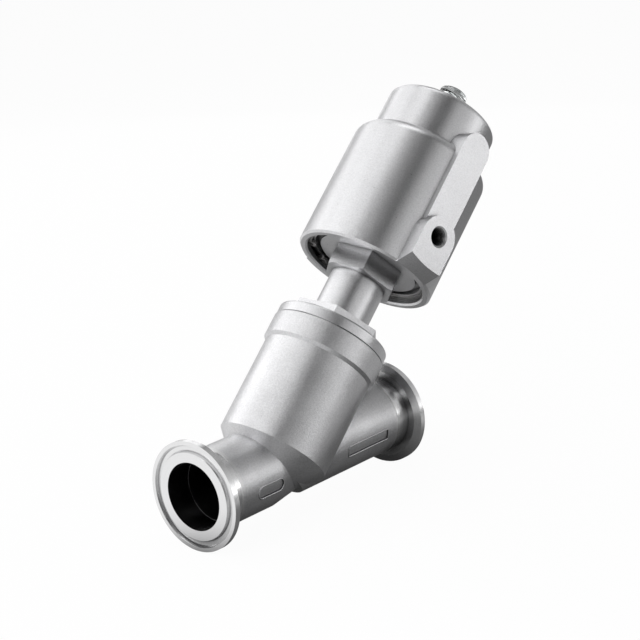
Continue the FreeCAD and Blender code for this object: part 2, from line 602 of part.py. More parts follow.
inlet_drill = pipe_core("inlet_drill", "-sizes.gasket_thickness",
                        "sizes.inlet_arm - sizes.inlet_dome_back + sizes.gasket_thickness")
inlet_dome = doc.addObject("Part::Sphere", "inlet_dome")
inlet_dome.Placement = Placement(Vector(number("sizes.inlet_arm - sizes.inlet_dome_back"), 0, 0), EAST)
inlet_dome.setExpression("Placement.Base.x", "sizes.inlet_arm - sizes.inlet_dome_back")
inlet_dome.setExpression("Radius", BODY_BORE)
inlet_core = doc.addObject("Part::Fuse", "inlet_core")
inlet_core.Base = inlet_drill
inlet_core.Tool = inlet_dome
inlet_passage = cut("inlet_passage", inlet_core, half_space("over_partition", "sizes.partition_foot", True))
outlet_drill = pipe_core("outlet_drill", f"sizes.inlet_arm - {CHAMBER}",
                         f"sizes.outlet_arm + 2 * {CHAMBER}")
outlet_passage = cut("outlet_passage", outlet_drill, half_space("under_lip", LIP_TOP, False))
panel_floor = pipe_core("panel_floor", "0", "sizes.inlet_arm + sizes.outlet_arm",
                        "(sizes.pipe_radius - sizes.panel_depth)")


def cast_panel(stub, middle):
    """A shallow panel with round corners on the side of one pipe stub."""
    lean = Rotation(Vector(1, 0, 0), number("sizes.panel_lean"))
    body = new_body(f"{stub}_panel", Placement(CROSSING, lean), is_node=False)
    sketch = new_sketch(body, f"{stub}_panel_outline", "XZ_Plane")
    half, side = f"sizes.{stub}_panel_half", f"sizes.{stub}_panel_side"
    start, stop = f"({middle} - {half})", f"({middle} + {half})"
    draw_outline(sketch, [(start, f"-{side}"), (stop, f"-{side}"), (stop, side), (start, side)])
    pad = body.newObject("PartDesign::Pad", f"{stub}_panel_pad")
    pad.Profile = sketch
    pad.setExpression("Length", "2 * sizes.pipe_radius")
    sketch.Visibility = False
    round_edges(body, f"{stub}_panel_corners", "Fillet", f"sizes.{stub}_panel_corner",
                lambda edge: isinstance(edge.Curve, Part.Line)
                and abs(edge.Curve.Direction.y) > 1 - CLOSE)
    return cut(f"{stub}_panel_recess", body, panel_floor)


inlet_recess = cast_panel("inlet", "-sizes.inlet_panel_middle")
outlet_recess = cast_panel("outlet", "sizes.outlet_panel_middle")
passages = doc.addObject("Part::MultiFuse", "passages")
passages.Shapes = [inlet_passage, outlet_passage, core, gasket_groove, inlet_recess, outlet_recess]
valve_body = cut("valve_body", casting, passages)
valve_body.Label = "valve_body"
nodes.append(valve_body)

# Bonnet and what it seals with
bonnet_gasket = turned_node("bonnet_gasket", ALONG_BRANCH, washer(
    GASKET_IN, GASKET_OUT, f"({GROOVE_FLOOR} + sizes.seal_slack)",
    f"({JOINT} - sizes.seal_slack)"))

bonnet = new_body("bonnet", ALONG_BRANCH)
turned(bonnet, "bonnet_blank", [
    ("0", SPIGOT_FOOT),
    ("(sizes.socket_radius - sizes.thread_clearance)", SPIGOT_FOOT),
    ("(sizes.socket_radius - sizes.thread_clearance)", JOINT),
    (f"({FLANGE} - sizes.joint_chamfer)", JOINT),
    (FLANGE, f"({JOINT} + sizes.joint_chamfer)"),
    (FLANGE, FLANGE_TOP),
    ("0", FLANGE_TOP),
])
round_edges(bonnet, "bonnet_flange_rounding", "Fillet", "sizes.flange_round",
            ring_edge(FLANGE, FLANGE_TOP))
prism(bonnet, "bonnet_hexagon", BONNET_HEX, "sizes.bonnet_hex_height", FLANGE_TOP,
      turn="sizes.bonnet_hex_turn")
turned(bonnet, "bonnet_bores", [
    ("0", f"({SPIGOT_FOOT} - sizes.lip_rise)"),
    (STEM_BORE, f"({SPIGOT_FOOT} - sizes.lip_rise)"),
    (STEM_BORE, "sizes.packing_floor"),
    ("sizes.packing_radius", "sizes.packing_floor"),
    ("sizes.packing_radius", NECK_SOCKET),
    ("(sizes.neck_radius + sizes.seal_slack)", NECK_SOCKET),
    ("(sizes.neck_radius + sizes.seal_slack)", f"({BONNET_TOP} + sizes.lip_rise)"),
    ("0", f"({BONNET_TOP} + sizes.lip_rise)"),
], cut=True)

# Stem packing, from the spring washers up to the gland and its wiper
PACKING_OUT = "(sizes.packing_radius - sizes.seal_slack)"
SPRINGS_FOOT = "(sizes.packing_floor + sizes.seal_slack)"
SPRINGS_TOP = (f"({SPRINGS_FOOT} + sizes.packing_spring_count"
               " * (sizes.packing_spring_rise + sizes.seal_slack))")
WASHER_TOP = f"({SPRINGS_TOP} + sizes.packing_washer_thickness)"


def stacked_rings(label, foot, pitch, count, outline_of):
    """A node of separate rings, one above the other."""
    rings = []
    for index in range(count):
        level = f"({foot} + {index} * {pitch})"
        ring = new_body(f"{label}_ring_{index + 1}", ALONG_BRANCH, is_node=False)
        turned(ring, f"{label}_section_{index + 1}", outline_of(level, index))
        rings.append(ring)
    group = doc.addObject("Part::Compound", label)
    group.Label = label
    group.Links = rings
    nodes.append(group)
    return group


def spring_washer(level, index):
    """A dished washer, turned over every second time."""
    high = f"({level} + sizes.packing_spring_rise)"
    thick = "sizes.packing_spring_thickness"
    low_edge, high_edge = (STEM_BORE, PACKING_OUT) if index % 2 else (PACKING_OUT, STEM_BORE)
    return [(low_edge, level), (high_edge, f"({high} - {thick})"), (high_edge, high),
            (low_edge, f"({level} + {thick})")]


packing_springs = stacked_rings(
    "packing_springs", SPRINGS_FOOT, "(sizes.packing_spring_rise + sizes.seal_slack)",
    int(number("sizes.packing_spring_count")), spring_washer)
packing_washer = turned_node("packing_washer", ALONG_BRANCH,
                             washer(STEM_BORE, PACKING_OUT, SPRINGS_TOP, WASHER_TOP))
GLAND_FOOT = f"({NECK_SOCKET} - sizes.gland_skirt)"
CHEVRON_MIDDLE = f"(({STEM_BORE} + {PACKING_OUT}) / 2)"


def chevron(level, index):
    """A packing ring with its vee pointing down and its lips up."""
    top = f"({level} + sizes.chevron_pitch - sizes.seal_slack)"
    depth = "sizes.chevron_depth"
    return [(STEM_BORE, f"({level} + {depth})"), (CHEVRON_MIDDLE, level),
            (PACKING_OUT, f"({level} + {depth})"), (PACKING_OUT, top),
            (CHEVRON_MIDDLE, f"({top} - {depth})"), (STEM_BORE, top)]


PACKING_ROOM = number(f"{GLAND_FOOT} - {WASHER_TOP}")
chevron_count = int(PACKING_ROOM / number("sizes.chevron_pitch"))
stem_packing = stacked_rings("stem_packing", f"({WASHER_TOP} + sizes.seal_slack)",
                             "sizes.chevron_pitch", chevron_count, chevron)

WIPER_FOOT = f"({NECK_SOCKET} - sizes.seal_slack)"
WIPER_TOP = f"({NECK_FOOT} - sizes.seal_slack)"
packing_gland = turned_node("packing_gland", ALONG_BRANCH, [
    (STEM_BORE, GLAND_FOOT),
    (PACKING_OUT, GLAND_FOOT),
    (PACKING_OUT, NECK_SOCKET),
    (GLAND_FLANGE, NECK_SOCKET),
    (GLAND_FLANGE, NECK_FOOT),
    ("(sizes.wiper_radius + sizes.seal_slack)", NECK_FOOT),
    ("(sizes.wiper_radius + sizes.seal_slack)", f"({WIPER_FOOT} - sizes.seal_slack)"),
    (STEM_BORE, f"({WIPER_FOOT} - sizes.seal_slack)"),
])
stem_wiper = turned_node("stem_wiper", ALONG_BRANCH, [
    ("(sizes.stem_radius + sizes.thread_clearance)", WIPER_FOOT),
    ("sizes.wiper_radius", WIPER_FOOT),
    ("sizes.wiper_radius", WIPER_TOP),
    (STEM_BORE, f"({WIPER_TOP} + sizes.wiper_thickness / 2)"),
])

# Neck tube between bonnet and actuator
neck_tube = turned_node("neck_tube", ALONG_BRANCH,
                        washer(NECK_BORE, "sizes.neck_radius", NECK_FOOT, NECK_TOP))

# Lower cover of the cylinder, with its O-ring, stem bush and stem seal
lower_cover = new_body("lower_cover", ALONG_BRANCH)
RING_MIDDLE = f"({COVER_FACE} + sizes.cover_ring_level)"
RING_HALF = "(sizes.cover_ring_radius + sizes.seal_slack)"
RING_FLOOR = f"({CYLINDER} - 2 * sizes.cover_ring_radius - 2 * sizes.seal_slack)"
RECESS_ROOF = f"({COVER_FACE} + sizes.cover_recess_depth)"
turned(lower_cover, "cover_disc", [
    ("0", COVER_FACE),
    (RECESS_IN, COVER_FACE),
    (RECESS_IN, RECESS_ROOF),
    (RECESS_OUT, RECESS_ROOF),
    (RECESS_OUT, COVER_FACE),
    (COVER_OUT, COVER_FACE),
    (COVER_OUT, f"({RING_MIDDLE} - {RING_HALF})"),
    (RING_FLOOR, f"({RING_MIDDLE} - {RING_HALF})"),
    (RING_FLOOR, f"({RING_MIDDLE} + {RING_HALF})"),
    (COVER_OUT, f"({RING_MIDDLE} + {RING_HALF})"),
    (COVER_OUT, COVER_TOP),
    ("0", COVER_TOP),
])
prism(lower_cover, "cover_hexagon", "sizes.cover_hex_radius", "sizes.cover_hex_height", COVER_FOOT,
      turn="sizes.cover_hex_turn")
turned(lower_cover, "cover_hexagon_chamfer", [
    ("(sizes.cover_hex_radius - sizes.hex_chamfer)", COVER_FOOT),
    ("(sizes.cover_hex_radius + sizes.hex_chamfer)", COVER_FOOT),
    ("(sizes.cover_hex_radius + sizes.hex_chamfer)", f"({COVER_FOOT} + sizes.hex_chamfer)"),
], cut=True)
BUSH_FOOT = f"({NECK_TOP} + sizes.seal_slack)"
BUSH_TOP = f"({BUSH_FOOT} + sizes.bush_length)"
STEM_SEAL_FOOT = f"({BUSH_TOP} + sizes.seal_slack)"
BUSH_ROOF = f"({COVER_TOP} - sizes.cover_lip)"
BELOW_COVER = f"({COVER_FOOT} - sizes.hex_chamfer)"
ABOVE_COVER = f"({COVER_TOP} + sizes.hex_chamfer)"
turned(lower_cover, "cover_bores", [
    ("0", BELOW_COVER),
    ("(sizes.neck_radius + sizes.seal_slack)", BELOW_COVER),
    ("(sizes.neck_radius + sizes.seal_slack)", NECK_TOP),
    ("(sizes.bush_radius + sizes.seal_slack)", NECK_TOP),
    ("(sizes.bush_radius + sizes.seal_slack)", BUSH_ROOF),
    (STEM_BORE, BUSH_ROOF),
    (STEM_BORE, ABOVE_COVER),
    ("0", ABOVE_COVER),
], cut=True)


def o_ring(label, frame, middle_radius, section_radius, level):
    """A round ring with a round section."""
    body = new_body(label, frame)
    sketch = new_sketch(body, f"{label}_section", "XZ_Plane")
    draw_circle(sketch, middle_radius, level, section_radius)
    feature = body.newObject("PartDesign::Revolution", f"{label}_turned")
    feature.Profile = sketch
    feature.ReferenceAxis = (sketch, ["V_Axis"])
    feature.Angle = 360
    sketch.Visibility = False
    return body


cover_o_ring = o_ring("cover_o_ring", ALONG_BRANCH, f"({RING_FLOOR} + {RING_HALF})",
                      "sizes.cover_ring_radius", RING_MIDDLE)
stem_bush = turned_node("stem_bush", ALONG_BRANCH,
                        washer(STEM_BORE, "sizes.bush_radius", BUSH_FOOT, BUSH_TOP))
STEM_SEAL_TOP = f"({STEM_SEAL_FOOT} + sizes.stem_seal_height)"
stem_seal = turned_node("stem_seal", ALONG_BRANCH,
                        washer(STEM_BORE, "sizes.bush_radius", STEM_SEAL_FOOT, STEM_SEAL_TOP))

# Casing: a stepped bell with port bosses and a gallery rib
casing = new_body("casing", ALONG_CASING)
turned(casing, "casing_blank", [
    ("0", EDGE),
    ("(sizes.barrel_radius - sizes.barrel_chamfer)", EDGE),
    ("sizes.barrel_radius", f"({EDGE} + sizes.barrel_chamfer)"),
    ("sizes.barrel_radius", SHOULDER),
    (CROWN, SHOULDER),
    (CROWN, ROOF),
    ("0", ROOF),
])
round_edges(casing, "casing_shoulder_rounding", "Fillet", "sizes.shoulder_round",
            ring_edge("sizes.barrel_radius", SHOULDER))
round_edges(casing, "casing_roof_rounding", "Fillet", "sizes.roof_round",
            ring_edge(CROWN, ROOF))


def casing_tongue(name, half, top, face, behind):
    """A pad with a round top, from the branch axis out to its face, on the front or behind."""
    sketch = new_sketch(casing, f"{name}_outline", "XZ_Plane")
    draw_tongue(sketch, half, EDGE, top)
    feature = casing.newObject("PartDesign::Pad", name)
    feature.Profile = sketch
    feature.Length = number(face)
    feature.setExpression("Length", face)
    feature.Reversed = behind
    sketch.Visibility = False
    doc.recompute()
    return feature


RIB_TOP = f"({EDGE} + sizes.rib_length)"
BOSS_TOP = f"({PORT} + sizes.boss_above_port)"
casing_tongue("gallery_rib", "sizes.rib_half", RIB_TOP, RIB_FACE, False)
casing_tongue("front_port_boss", "sizes.boss_half", BOSS_TOP, BOSS_FACE, False)
casing_tongue("rear_port_boss", "sizes.boss_half", BOSS_TOP, BOSS_FACE, True)
BOSS_CUT_RADIUS = f"(2 * {BOSS_FACE} - sizes.barrel_radius)"
BOSS_CUT_RISE = f"({EDGE} + ({BOSS_CUT_RADIUS} - sizes.barrel_radius) / sizes.boss_slope)"
BELOW_EDGE = f"({EDGE} - sizes.barrel_chamfer)"
turned(casing, "boss_foot_chamfer", [
    ("sizes.barrel_radius", EDGE),
    (BOSS_CUT_RADIUS, BOSS_CUT_RISE),
    (BOSS_CUT_RADIUS, BELOW_EDGE),
    ("sizes.barrel_radius", BELOW_EDGE),
], cut=True)
CLIP_FOOT = f"({COVER_FACE} - sizes.circlip_thickness - 2 * sizes.seal_slack)"
CLIP_SEAT = f"({CYLINDER} + sizes.circlip_seat)"
turned(casing, "casing_bores", [
    ("0", BELOW_EDGE),
    (f"({CYLINDER} + sizes.mouth_chamfer + sizes.barrel_chamfer)", BELOW_EDGE),
    (CYLINDER, f"({EDGE} + sizes.mouth_chamfer)"),
    (CYLINDER, CLIP_FOOT),
    (CLIP_SEAT, CLIP_FOOT),
    (CLIP_SEAT, COVER_FACE),
    (CYLINDER, COVER_FACE),
    (CYLINDER, CEILING),
    (CROWN_BORE, CEILING),
    (CROWN_BORE, ROOF_INSIDE),
    ("(sizes.lens_thread_radius + sizes.seal_slack)", ROOF_INSIDE),
    ("(sizes.lens_thread_radius + sizes.seal_slack)", f"({ROOF} + sizes.roof_thickness)"),
    ("0", f"({ROOF} + sizes.roof_thickness)"),
], cut=True)
drilled(casing, "front_port", "XZ_Plane", PORT_FLOOR, "0", PORT, "sizes.port_radius",
        BOSS_FACE, True)
drilled(casing, "rear_port", "XZ_Plane", f"-({CYLINDER} - sizes.casing_wall)", "0", PORT,
        "sizes.port_radius", BOSS_FACE, False)


def port_mouth(edge):
    """Picks the circles where the port holes meet the boss faces."""
    curve = edge.Curve
    if not isinstance(curve, Part.Circle):
        return False
    near_face = abs(abs(curve.Center.y) - number(BOSS_FACE)) < CLOSE
    return near_face and abs(curve.Radius - number("sizes.port_radius")) < CLOSE


round_edges(casing, "port_mouth_chamfer", "Chamfer", "sizes.port_chamfer", port_mouth)
GALLERY_TOP = f"({RIB_TOP} - sizes.gallery_margin)"
drilled(casing, "gallery", "XY_Plane", PORT, "0", f"-{GALLERY_MIDDLE}", "sizes.gallery_radius",
        f"{GALLERY_TOP} - {PORT}", True)
drilled(casing, "gallery_cross_hole", "XZ_Plane", f"({CROWN_BORE} - sizes.gallery_radius)", "0",
        f"({GALLERY_TOP} - 2 * sizes.gallery_radius)", "sizes.gallery_cross_radius",
        f"{GALLERY_MIDDLE} - {CROWN_BORE} + sizes.gallery_radius", True)

# Circlip under the cover: an open ring with two drilled ears
cover_circlip = new_body("cover_circlip", ALONG_CASING)
CLIP_LOW = f"({CLIP_FOOT} + sizes.seal_slack)"
CLIP_HIGH = f"({COVER_FACE} - sizes.seal_slack)"
CLIP_OUT = f"({CLIP_SEAT} - sizes.seal_slack)"
CLIP_IN = f"({CLIP_OUT} - sizes.circlip_width)"
turned(cover_circlip, "circlip_ring", washer(CLIP_IN, CLIP_OUT, CLIP_LOW, CLIP_HIGH))
EAR_RADIUS = f"({CLIP_OUT} - sizes.circlip_ear - sizes.thread_clearance)"
ear_angle = number("sizes.circlip_gap") / 2 + math.degrees(
    number("sizes.circlip_ear") / number(EAR_RADIUS))
clip_turn = number("sizes.circlip_turn")


def ear_sketch(name, radius, side):
    """A circle on one of the circlip's ears."""
    turn = clip_turn + side * ear_angle
    sketch = new_sketch(cover_circlip, name, "XY_Plane", CLIP_LOW, turn=turn)
    draw_circle(sketch, EAR_RADIUS, "0", radius)
    sketch.Visibility = False
    return sketch


for side, side_name in ((-1, "left"), (1, "right")):
    ear = cover_circlip.newObject("PartDesign::Pad", f"circlip_{side_name}_ear")
    ear.Profile = ear_sketch(f"circlip_{side_name}_ear_circle", "sizes.circlip_ear", side)
    ear.setExpression("Length", f"{CLIP_HIGH} - {CLIP_LOW}")
    doc.recompute()
gap_sketch = new_sketch(cover_circlip, "circlip_gap_outline", "XY_Plane", CLIP_LOW, turn=clip_turn)
GAP_HALF = "(sizes.barrel_radius * tan(sizes.circlip_gap * 0.5))"
draw_outline(gap_sketch, [("0", "0"), ("sizes.barrel_radius", f"-{GAP_HALF}"),
                          ("sizes.barrel_radius", GAP_HALF)])
gap_cut = cover_circlip.newObject("PartDesign::Pocket", "circlip_gap_cut")
gap_cut.Profile = gap_sketch
gap_cut.Length = number("sizes.circlip_thickness")
gap_cut.Type = "ThroughAll"
gap_cut.Midplane = True
gap_sketch.Visibility = False
for side, side_name in ((-1, "left"), (1, "right")):
    hole = cover_circlip.newObject("PartDesign::Pocket", f"circlip_{side_name}_hole")
    hole.Profile = ear_sketch(f"circlip_{side_name}_hole_circle", "sizes.circlip_ear_hole", side)
    hole.Type = "ThroughAll"
    hole.Midplane = True
    doc.recompute()

# Lens over the indicator, and the ring that it presses on the roof
LENS_SEAT = f"({ROOF} + sizes.lens_gasket_thickness)"
LENS_TOP = f"({ROOF} + sizes.lens_rise)"
LENS_FOOT = f"({ROOF_INSIDE} - sizes.lens_foot)"
LENS_CEILING = f"({LENS_TOP} - sizes.lens_crown)"
indicator_lens = new_body("indicator_lens", ALONG_CASING)
turned(indicator_lens, "lens_turned", [
    ("sizes.lens_bore", LENS_FOOT),
    ("sizes.lens_thread_radius", LENS_FOOT),
    ("sizes.lens_thread_radius", LENS_SEAT),
    ("sizes.lens_radius", LENS_SEAT),
    ("sizes.lens_radius", LENS_TOP),
    ("0", LENS_TOP),
    ("0", LENS_CEILING),
    ("sizes.lens_bore", LENS_CEILING),
])
round_edges(indicator_lens, "lens_rounding", "Fillet", "sizes.lens_round",
            ring_edge("sizes.lens_radius", LENS_TOP))
slot_sketch = new_sketch(indicator_lens, "lens_slot_outline", "YZ_Plane")
SLOT_HALF = "(sizes.lens_slot_width / 2)"
SLOT_FLOOR = f"({LENS_TOP} - sizes.lens_slot_depth)"
draw_outline(slot_sketch, [(f"-{SLOT_HALF}", SLOT_FLOOR), (SLOT_HALF, SLOT_FLOOR),
                           (SLOT_HALF, f"({LENS_TOP} + sizes.lens_slot_depth)"),
                           (f"-{SLOT_HALF}", f"({LENS_TOP} + sizes.lens_slot_depth)")])
lens_slot = indicator_lens.newObject("PartDesign::Pocket", "lens_slot")
lens_slot.Profile = slot_sketch
lens_slot.Type = "ThroughAll"
lens_slot.Midplane = True
slot_sketch.Visibility = False
lens_gasket = turned_node("lens_gasket", ALONG_CASING, washer(
    "(sizes.lens_thread_radius + sizes.seal_slack)", "sizes.lens_gasket_radius", ROOF, LENS_SEAT))

# Stem with the neck for the piston and the hole for the indicator rod
ROD_FOOT = f"({STEM_TOP} - sizes.rod_socket_depth)"
stem = new_body("stem", ALONG_BRANCH)
turned(stem, "stem_turned", [
    ("0", STEM_FOOT),
    ("sizes.stem_radius", STEM_FOOT),
    ("sizes.stem_radius", PISTON_FOOT),
    (STEM_NECK, PISTON_FOOT),
    (STEM_NECK, STEM_TOP),
    ("(sizes.rod_radius + sizes.seal_slack)", STEM_TOP),
    ("(sizes.rod_radius + sizes.seal_slack)", ROD_FOOT),
    ("0", ROD_FOOT),
])
PIN_LEVEL = f"({PLUG_TOP} + sizes.pin_rise)"
drilled(stem, "stem_pin_hole", "XZ_Plane", PLUG_OUT, "0", PIN_LEVEL,
        "(sizes.pin_radius + sizes.seal_slack)", f"2 * {PLUG_OUT}", False)

# Plug with its hub, sealing ring, retaining washer, nut and pin
plug = new_body("plug", ALONG_BRANCH)
SEAL_POCKET = f"({SEAL_OUT} + sizes.seal_slack)"
STUD_FOOT = f"({RETAINER_FOOT} - sizes.plug_nut_height - sizes.stud_proud)"
turned(plug, "plug_turned", [
    ("0", STUD_FOOT),
    ("sizes.plug_stud_radius", STUD_FOOT),
    ("sizes.plug_stud_radius", RETAINER_FOOT),
    ("sizes.plug_stud_radius", SEAL_FOOT),
    ("(sizes.seal_bore - sizes.seal_slack)", SEAL_FOOT),
    ("(sizes.seal_bore - sizes.seal_slack)", SEAL_TOP),
    (SEAL_POCKET, SEAL_TOP),
    (SEAL_POCKET, PLUG_FOOT),
    (PLUG_OUT, PLUG_FOOT),
    (PLUG_OUT, f"({PLUG_TOP} - sizes.lip_width)"),
    ("sizes.plug_hub_radius", PLUG_TOP),
    ("sizes.plug_hub_radius", HUB_TOP),
    ("(sizes.stem_radius + sizes.seal_slack)", HUB_TOP),
    ("(sizes.stem_radius + sizes.seal_slack)", STEM_FOOT),
    ("0", STEM_FOOT),
])
drilled(plug, "plug_pin_hole", "XZ_Plane", PLUG_OUT, "0", PIN_LEVEL,
        "(sizes.pin_radius + sizes.seal_slack)", f"2 * {PLUG_OUT}", False)
plug_seal = turned_node("plug_seal", ALONG_BRANCH,
                        washer("sizes.seal_bore", SEAL_OUT, SEAL_FOOT, SEAL_TOP))
seal_retainer = turned_node("seal_retainer", ALONG_BRANCH, washer(
    "(sizes.plug_stud_radius + sizes.seal_slack)", RETAINER_OUT, RETAINER_FOOT, SEAL_FOOT))


def nut(label, height, foot, stud):
    """A hexagon nut with both ends chamfered, over a stud of a given radius."""
    body = new_body(label, ALONG_BRANCH)
    top = f"({foot} + {height})"
    prism(body, f"{label}_hexagon", "sizes.nut_radius", height, foot)
    inner = "(sizes.nut_radius - sizes.port_chamfer)"
    outer = "(sizes.nut_radius + sizes.port_chamfer)"
    turned(body, f"{label}_upper_chamfer",
           [(inner, top), (outer, top), (outer, f"({top} - sizes.port_chamfer)")], cut=True)
    turned(body, f"{label}_lower_chamfer",
           [(inner, foot), (outer, foot), (outer, f"({foot} + sizes.port_chamfer)")], cut=True)
    bore = f"({stud} + sizes.seal_slack)"
    turned(body, f"{label}_bore", [
        ("0", f"({foot} - sizes.port_chamfer)"), (bore, f"({foot} - sizes.port_chamfer)"),
        (bore, f"({top} + sizes.port_chamfer)"), ("0", f"({top} + sizes.port_chamfer)")], cut=True)
    return body


plug_nut = nut("plug_nut", "sizes.plug_nut_height", f"({RETAINER_FOOT} - sizes.plug_nut_height)",
               "sizes.plug_stud_radius")
plug_pin = new_body("plug_pin", ALONG_BRANCH)
pin_sketch = new_sketch(plug_pin, "plug_pin_circle", "XZ_Plane")
draw_circle(pin_sketch, "0", PIN_LEVEL, "sizes.pin_radius")
pin_pad = plug_pin.newObject("PartDesign::Pad", "plug_pin_pad")
pin_pad.Profile = pin_sketch
pin_pad.Midplane = True
pin_pad.setExpression("Length", "2 * (sizes.plug_hub_radius - sizes.seal_slack)")
pin_sketch.Visibility = False

# Piston with its lip seal and guide ring, held on the stem by washer and nut
PISTON_OUT = f"({CYLINDER} - sizes.piston_relief)"
PISTON_RUN = f"({CYLINDER} - sizes.running_clearance)"
LIP_LOW = f"({PISTON_FOOT} + sizes.piston_seal_foot)"
LIP_HIGH = f"({LIP_LOW} + sizes.piston_seal_height)"
LIP_FLOOR = f"({CYLINDER} - sizes.piston_seal_depth)"
GUIDE_LOW = f"({PISTON_FOOT} + sizes.piston_guide_foot)"
GUIDE_HIGH = f"({GUIDE_LOW} + sizes.piston_guide_height)"
GUIDE_FLOOR = f"({CYLINDER} - sizes.piston_guide_depth)"
piston = turned_node("piston", ALONG_BRANCH, [
    (f"({STEM_NECK} + sizes.seal_slack)", PISTON_FOOT),
    (PISTON_OUT, PISTON_FOOT),
    (PISTON_OUT, LIP_LOW),
    (LIP_FLOOR, LIP_LOW),
    (LIP_FLOOR, LIP_HIGH),
    (PISTON_OUT, LIP_HIGH),
    (PISTON_OUT, GUIDE_LOW),
    (GUIDE_FLOOR, GUIDE_LOW),
    (GUIDE_FLOOR, GUIDE_HIGH),
    (PISTON_OUT, GUIDE_HIGH),
    (PISTON_OUT, PISTON_TOP),
    (SPRING_SEAT_OUT, PISTON_TOP),
    (SPRING_SEAT_OUT, SPRING_SEAT),
    ("sizes.piston_recess_inner", SPRING_SEAT),
    ("sizes.piston_recess_inner", PISTON_TOP),
    (f"({STEM_NECK} + sizes.seal_slack)", PISTON_TOP),
])
LIP_IN = f"({LIP_FLOOR} + sizes.seal_slack)"
LIP_MIDDLE = f"(({LIP_IN} + {PISTON_RUN}) / 2)"
piston_seal = turned_node("piston_seal", ALONG_BRANCH, [
    (LIP_IN, f"({LIP_LOW} + sizes.seal_slack)"),
    (LIP_MIDDLE, f"({LIP_LOW} + sizes.piston_seal_height / 2)"),
    (PISTON_RUN, f"({LIP_LOW} + sizes.seal_slack)"),
    (PISTON_RUN, f"({LIP_LOW} + sizes.piston_seal_height / 2)"),
    (f"({PISTON_RUN} - sizes.piston_relief)", f"({LIP_HIGH} - sizes.seal_slack)"),
    (LIP_IN, f"({LIP_HIGH} - sizes.seal_slack)"),
])
piston_guide = turned_node("piston_guide", ALONG_BRANCH, washer(
    f"({GUIDE_FLOOR} + sizes.seal_slack)", PISTON_RUN, f"({GUIDE_LOW} + sizes.seal_slack)",
    f"({GUIDE_HIGH} - sizes.seal_slack)"))
PISTON_WASHER_TOP = f"({PISTON_TOP} + sizes.piston_washer_thickness)"
piston_washer = turned_node("piston_washer", ALONG_BRANCH, washer(
    f"({STEM_NECK} + sizes.seal_slack)", "sizes.piston_washer_radius", PISTON_TOP,
    PISTON_WASHER_TOP))
piston_nut = nut("piston_nut", "sizes.piston_nut_height", PISTON_WASHER_TOP, STEM_NECK)

# Indicator rod with its coloured head
FLAG_TOP = f"({ROOF} - sizes.flag_below_roof)"
FLAG_FOOT = f"({FLAG_TOP} - sizes.flag_length)"
indicator_rod = turned_node("indicator_rod", ALONG_BRANCH, [
    ("0", f"({ROD_FOOT} + sizes.seal_slack)"),
    ("sizes.rod_radius", f"({ROD_FOOT} + sizes.seal_slack)"),
    ("sizes.rod_radius", FLAG_FOOT),
    ("0", FLAG_FOOT),
])
indicator_flag = turned_node("indicator_flag", ALONG_BRANCH, [
    ("0", FLAG_FOOT),
    ("sizes.flag_radius", FLAG_FOOT),
    ("sizes.flag_radius", FLAG_TOP),
    ("0", FLAG_TOP),
])


def octagon(across, level, half):
    """An eight-sided section around a point, given half its width."""
    short = f"({half} * tan(sizes.octagon_angle))"
    corners = [(half, f"-{short}"), (half, short), (short, half), (f"-{short}", half),
               (f"-{half}", short), (f"-{half}", f"-{short}"), (f"-{short}", f"-{half}"),
               (short, f"-{half}")]
    return [(f"({across} + {right})", f"({level} + {up})") for right, up in corners]


def coil_spring(label, radius, wire, turns):
    """A coil spring between the piston and the roof, wound about the branch."""
    foot = f"({SPRING_SEAT} + sizes.spring_slack + {wire})"
    length = f"({ROOF_INSIDE} - sizes.spring_slack - {wire} - {foot})"
    body = new_body(label, ALONG_BRANCH)
    section = new_sketch(body, f"{label}_section", "XZ_Plane")
    draw_outline(section, octagon(radius, foot, wire))
    doc.recompute()
    coil = body.newObject("PartDesign::AdditiveHelix", f"{label}_coil")
    coil.Profile = section
    coil.ReferenceAxis = (section, ["V_Axis"])
    coil.Mode = "height-turns-angle"
    coil.setExpression("Height", length)
    coil.setExpression("Turns", turns)
    section.Visibility = False
    return body


outer_spring = coil_spring("outer_spring", OUTER_SPRING, "sizes.outer_wire",
                           "sizes.outer_turns")
inner_spring = coil_spring("inner_spring", "sizes.inner_spring_radius", "sizes.inner_wire",
                           "sizes.inner_turns")

doc.recompute()
for item in doc.Objects:
    if "Invalid" in item.State or "Error" in item.State:
        raise RuntimeError(f"{item.Label} failed: {item.State}")
for node in nodes:
    if node.Shape.isNull() or not node.Shape.isValid() or not node.Shape.Solids:
        raise RuntimeError(f"{node.Label} has no sound solid")
for node in nodes:
    node.Shape.exportStep(f"parts/{node.Label}.step")
    print(node.Label, len(node.Shape.Solids), round(node.Shape.Volume, 1))
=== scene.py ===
"""Angle seat valve: finishes, small added parts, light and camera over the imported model."""

import json
import math

import bmesh
import bpy
from mathutils import Matrix, Vector


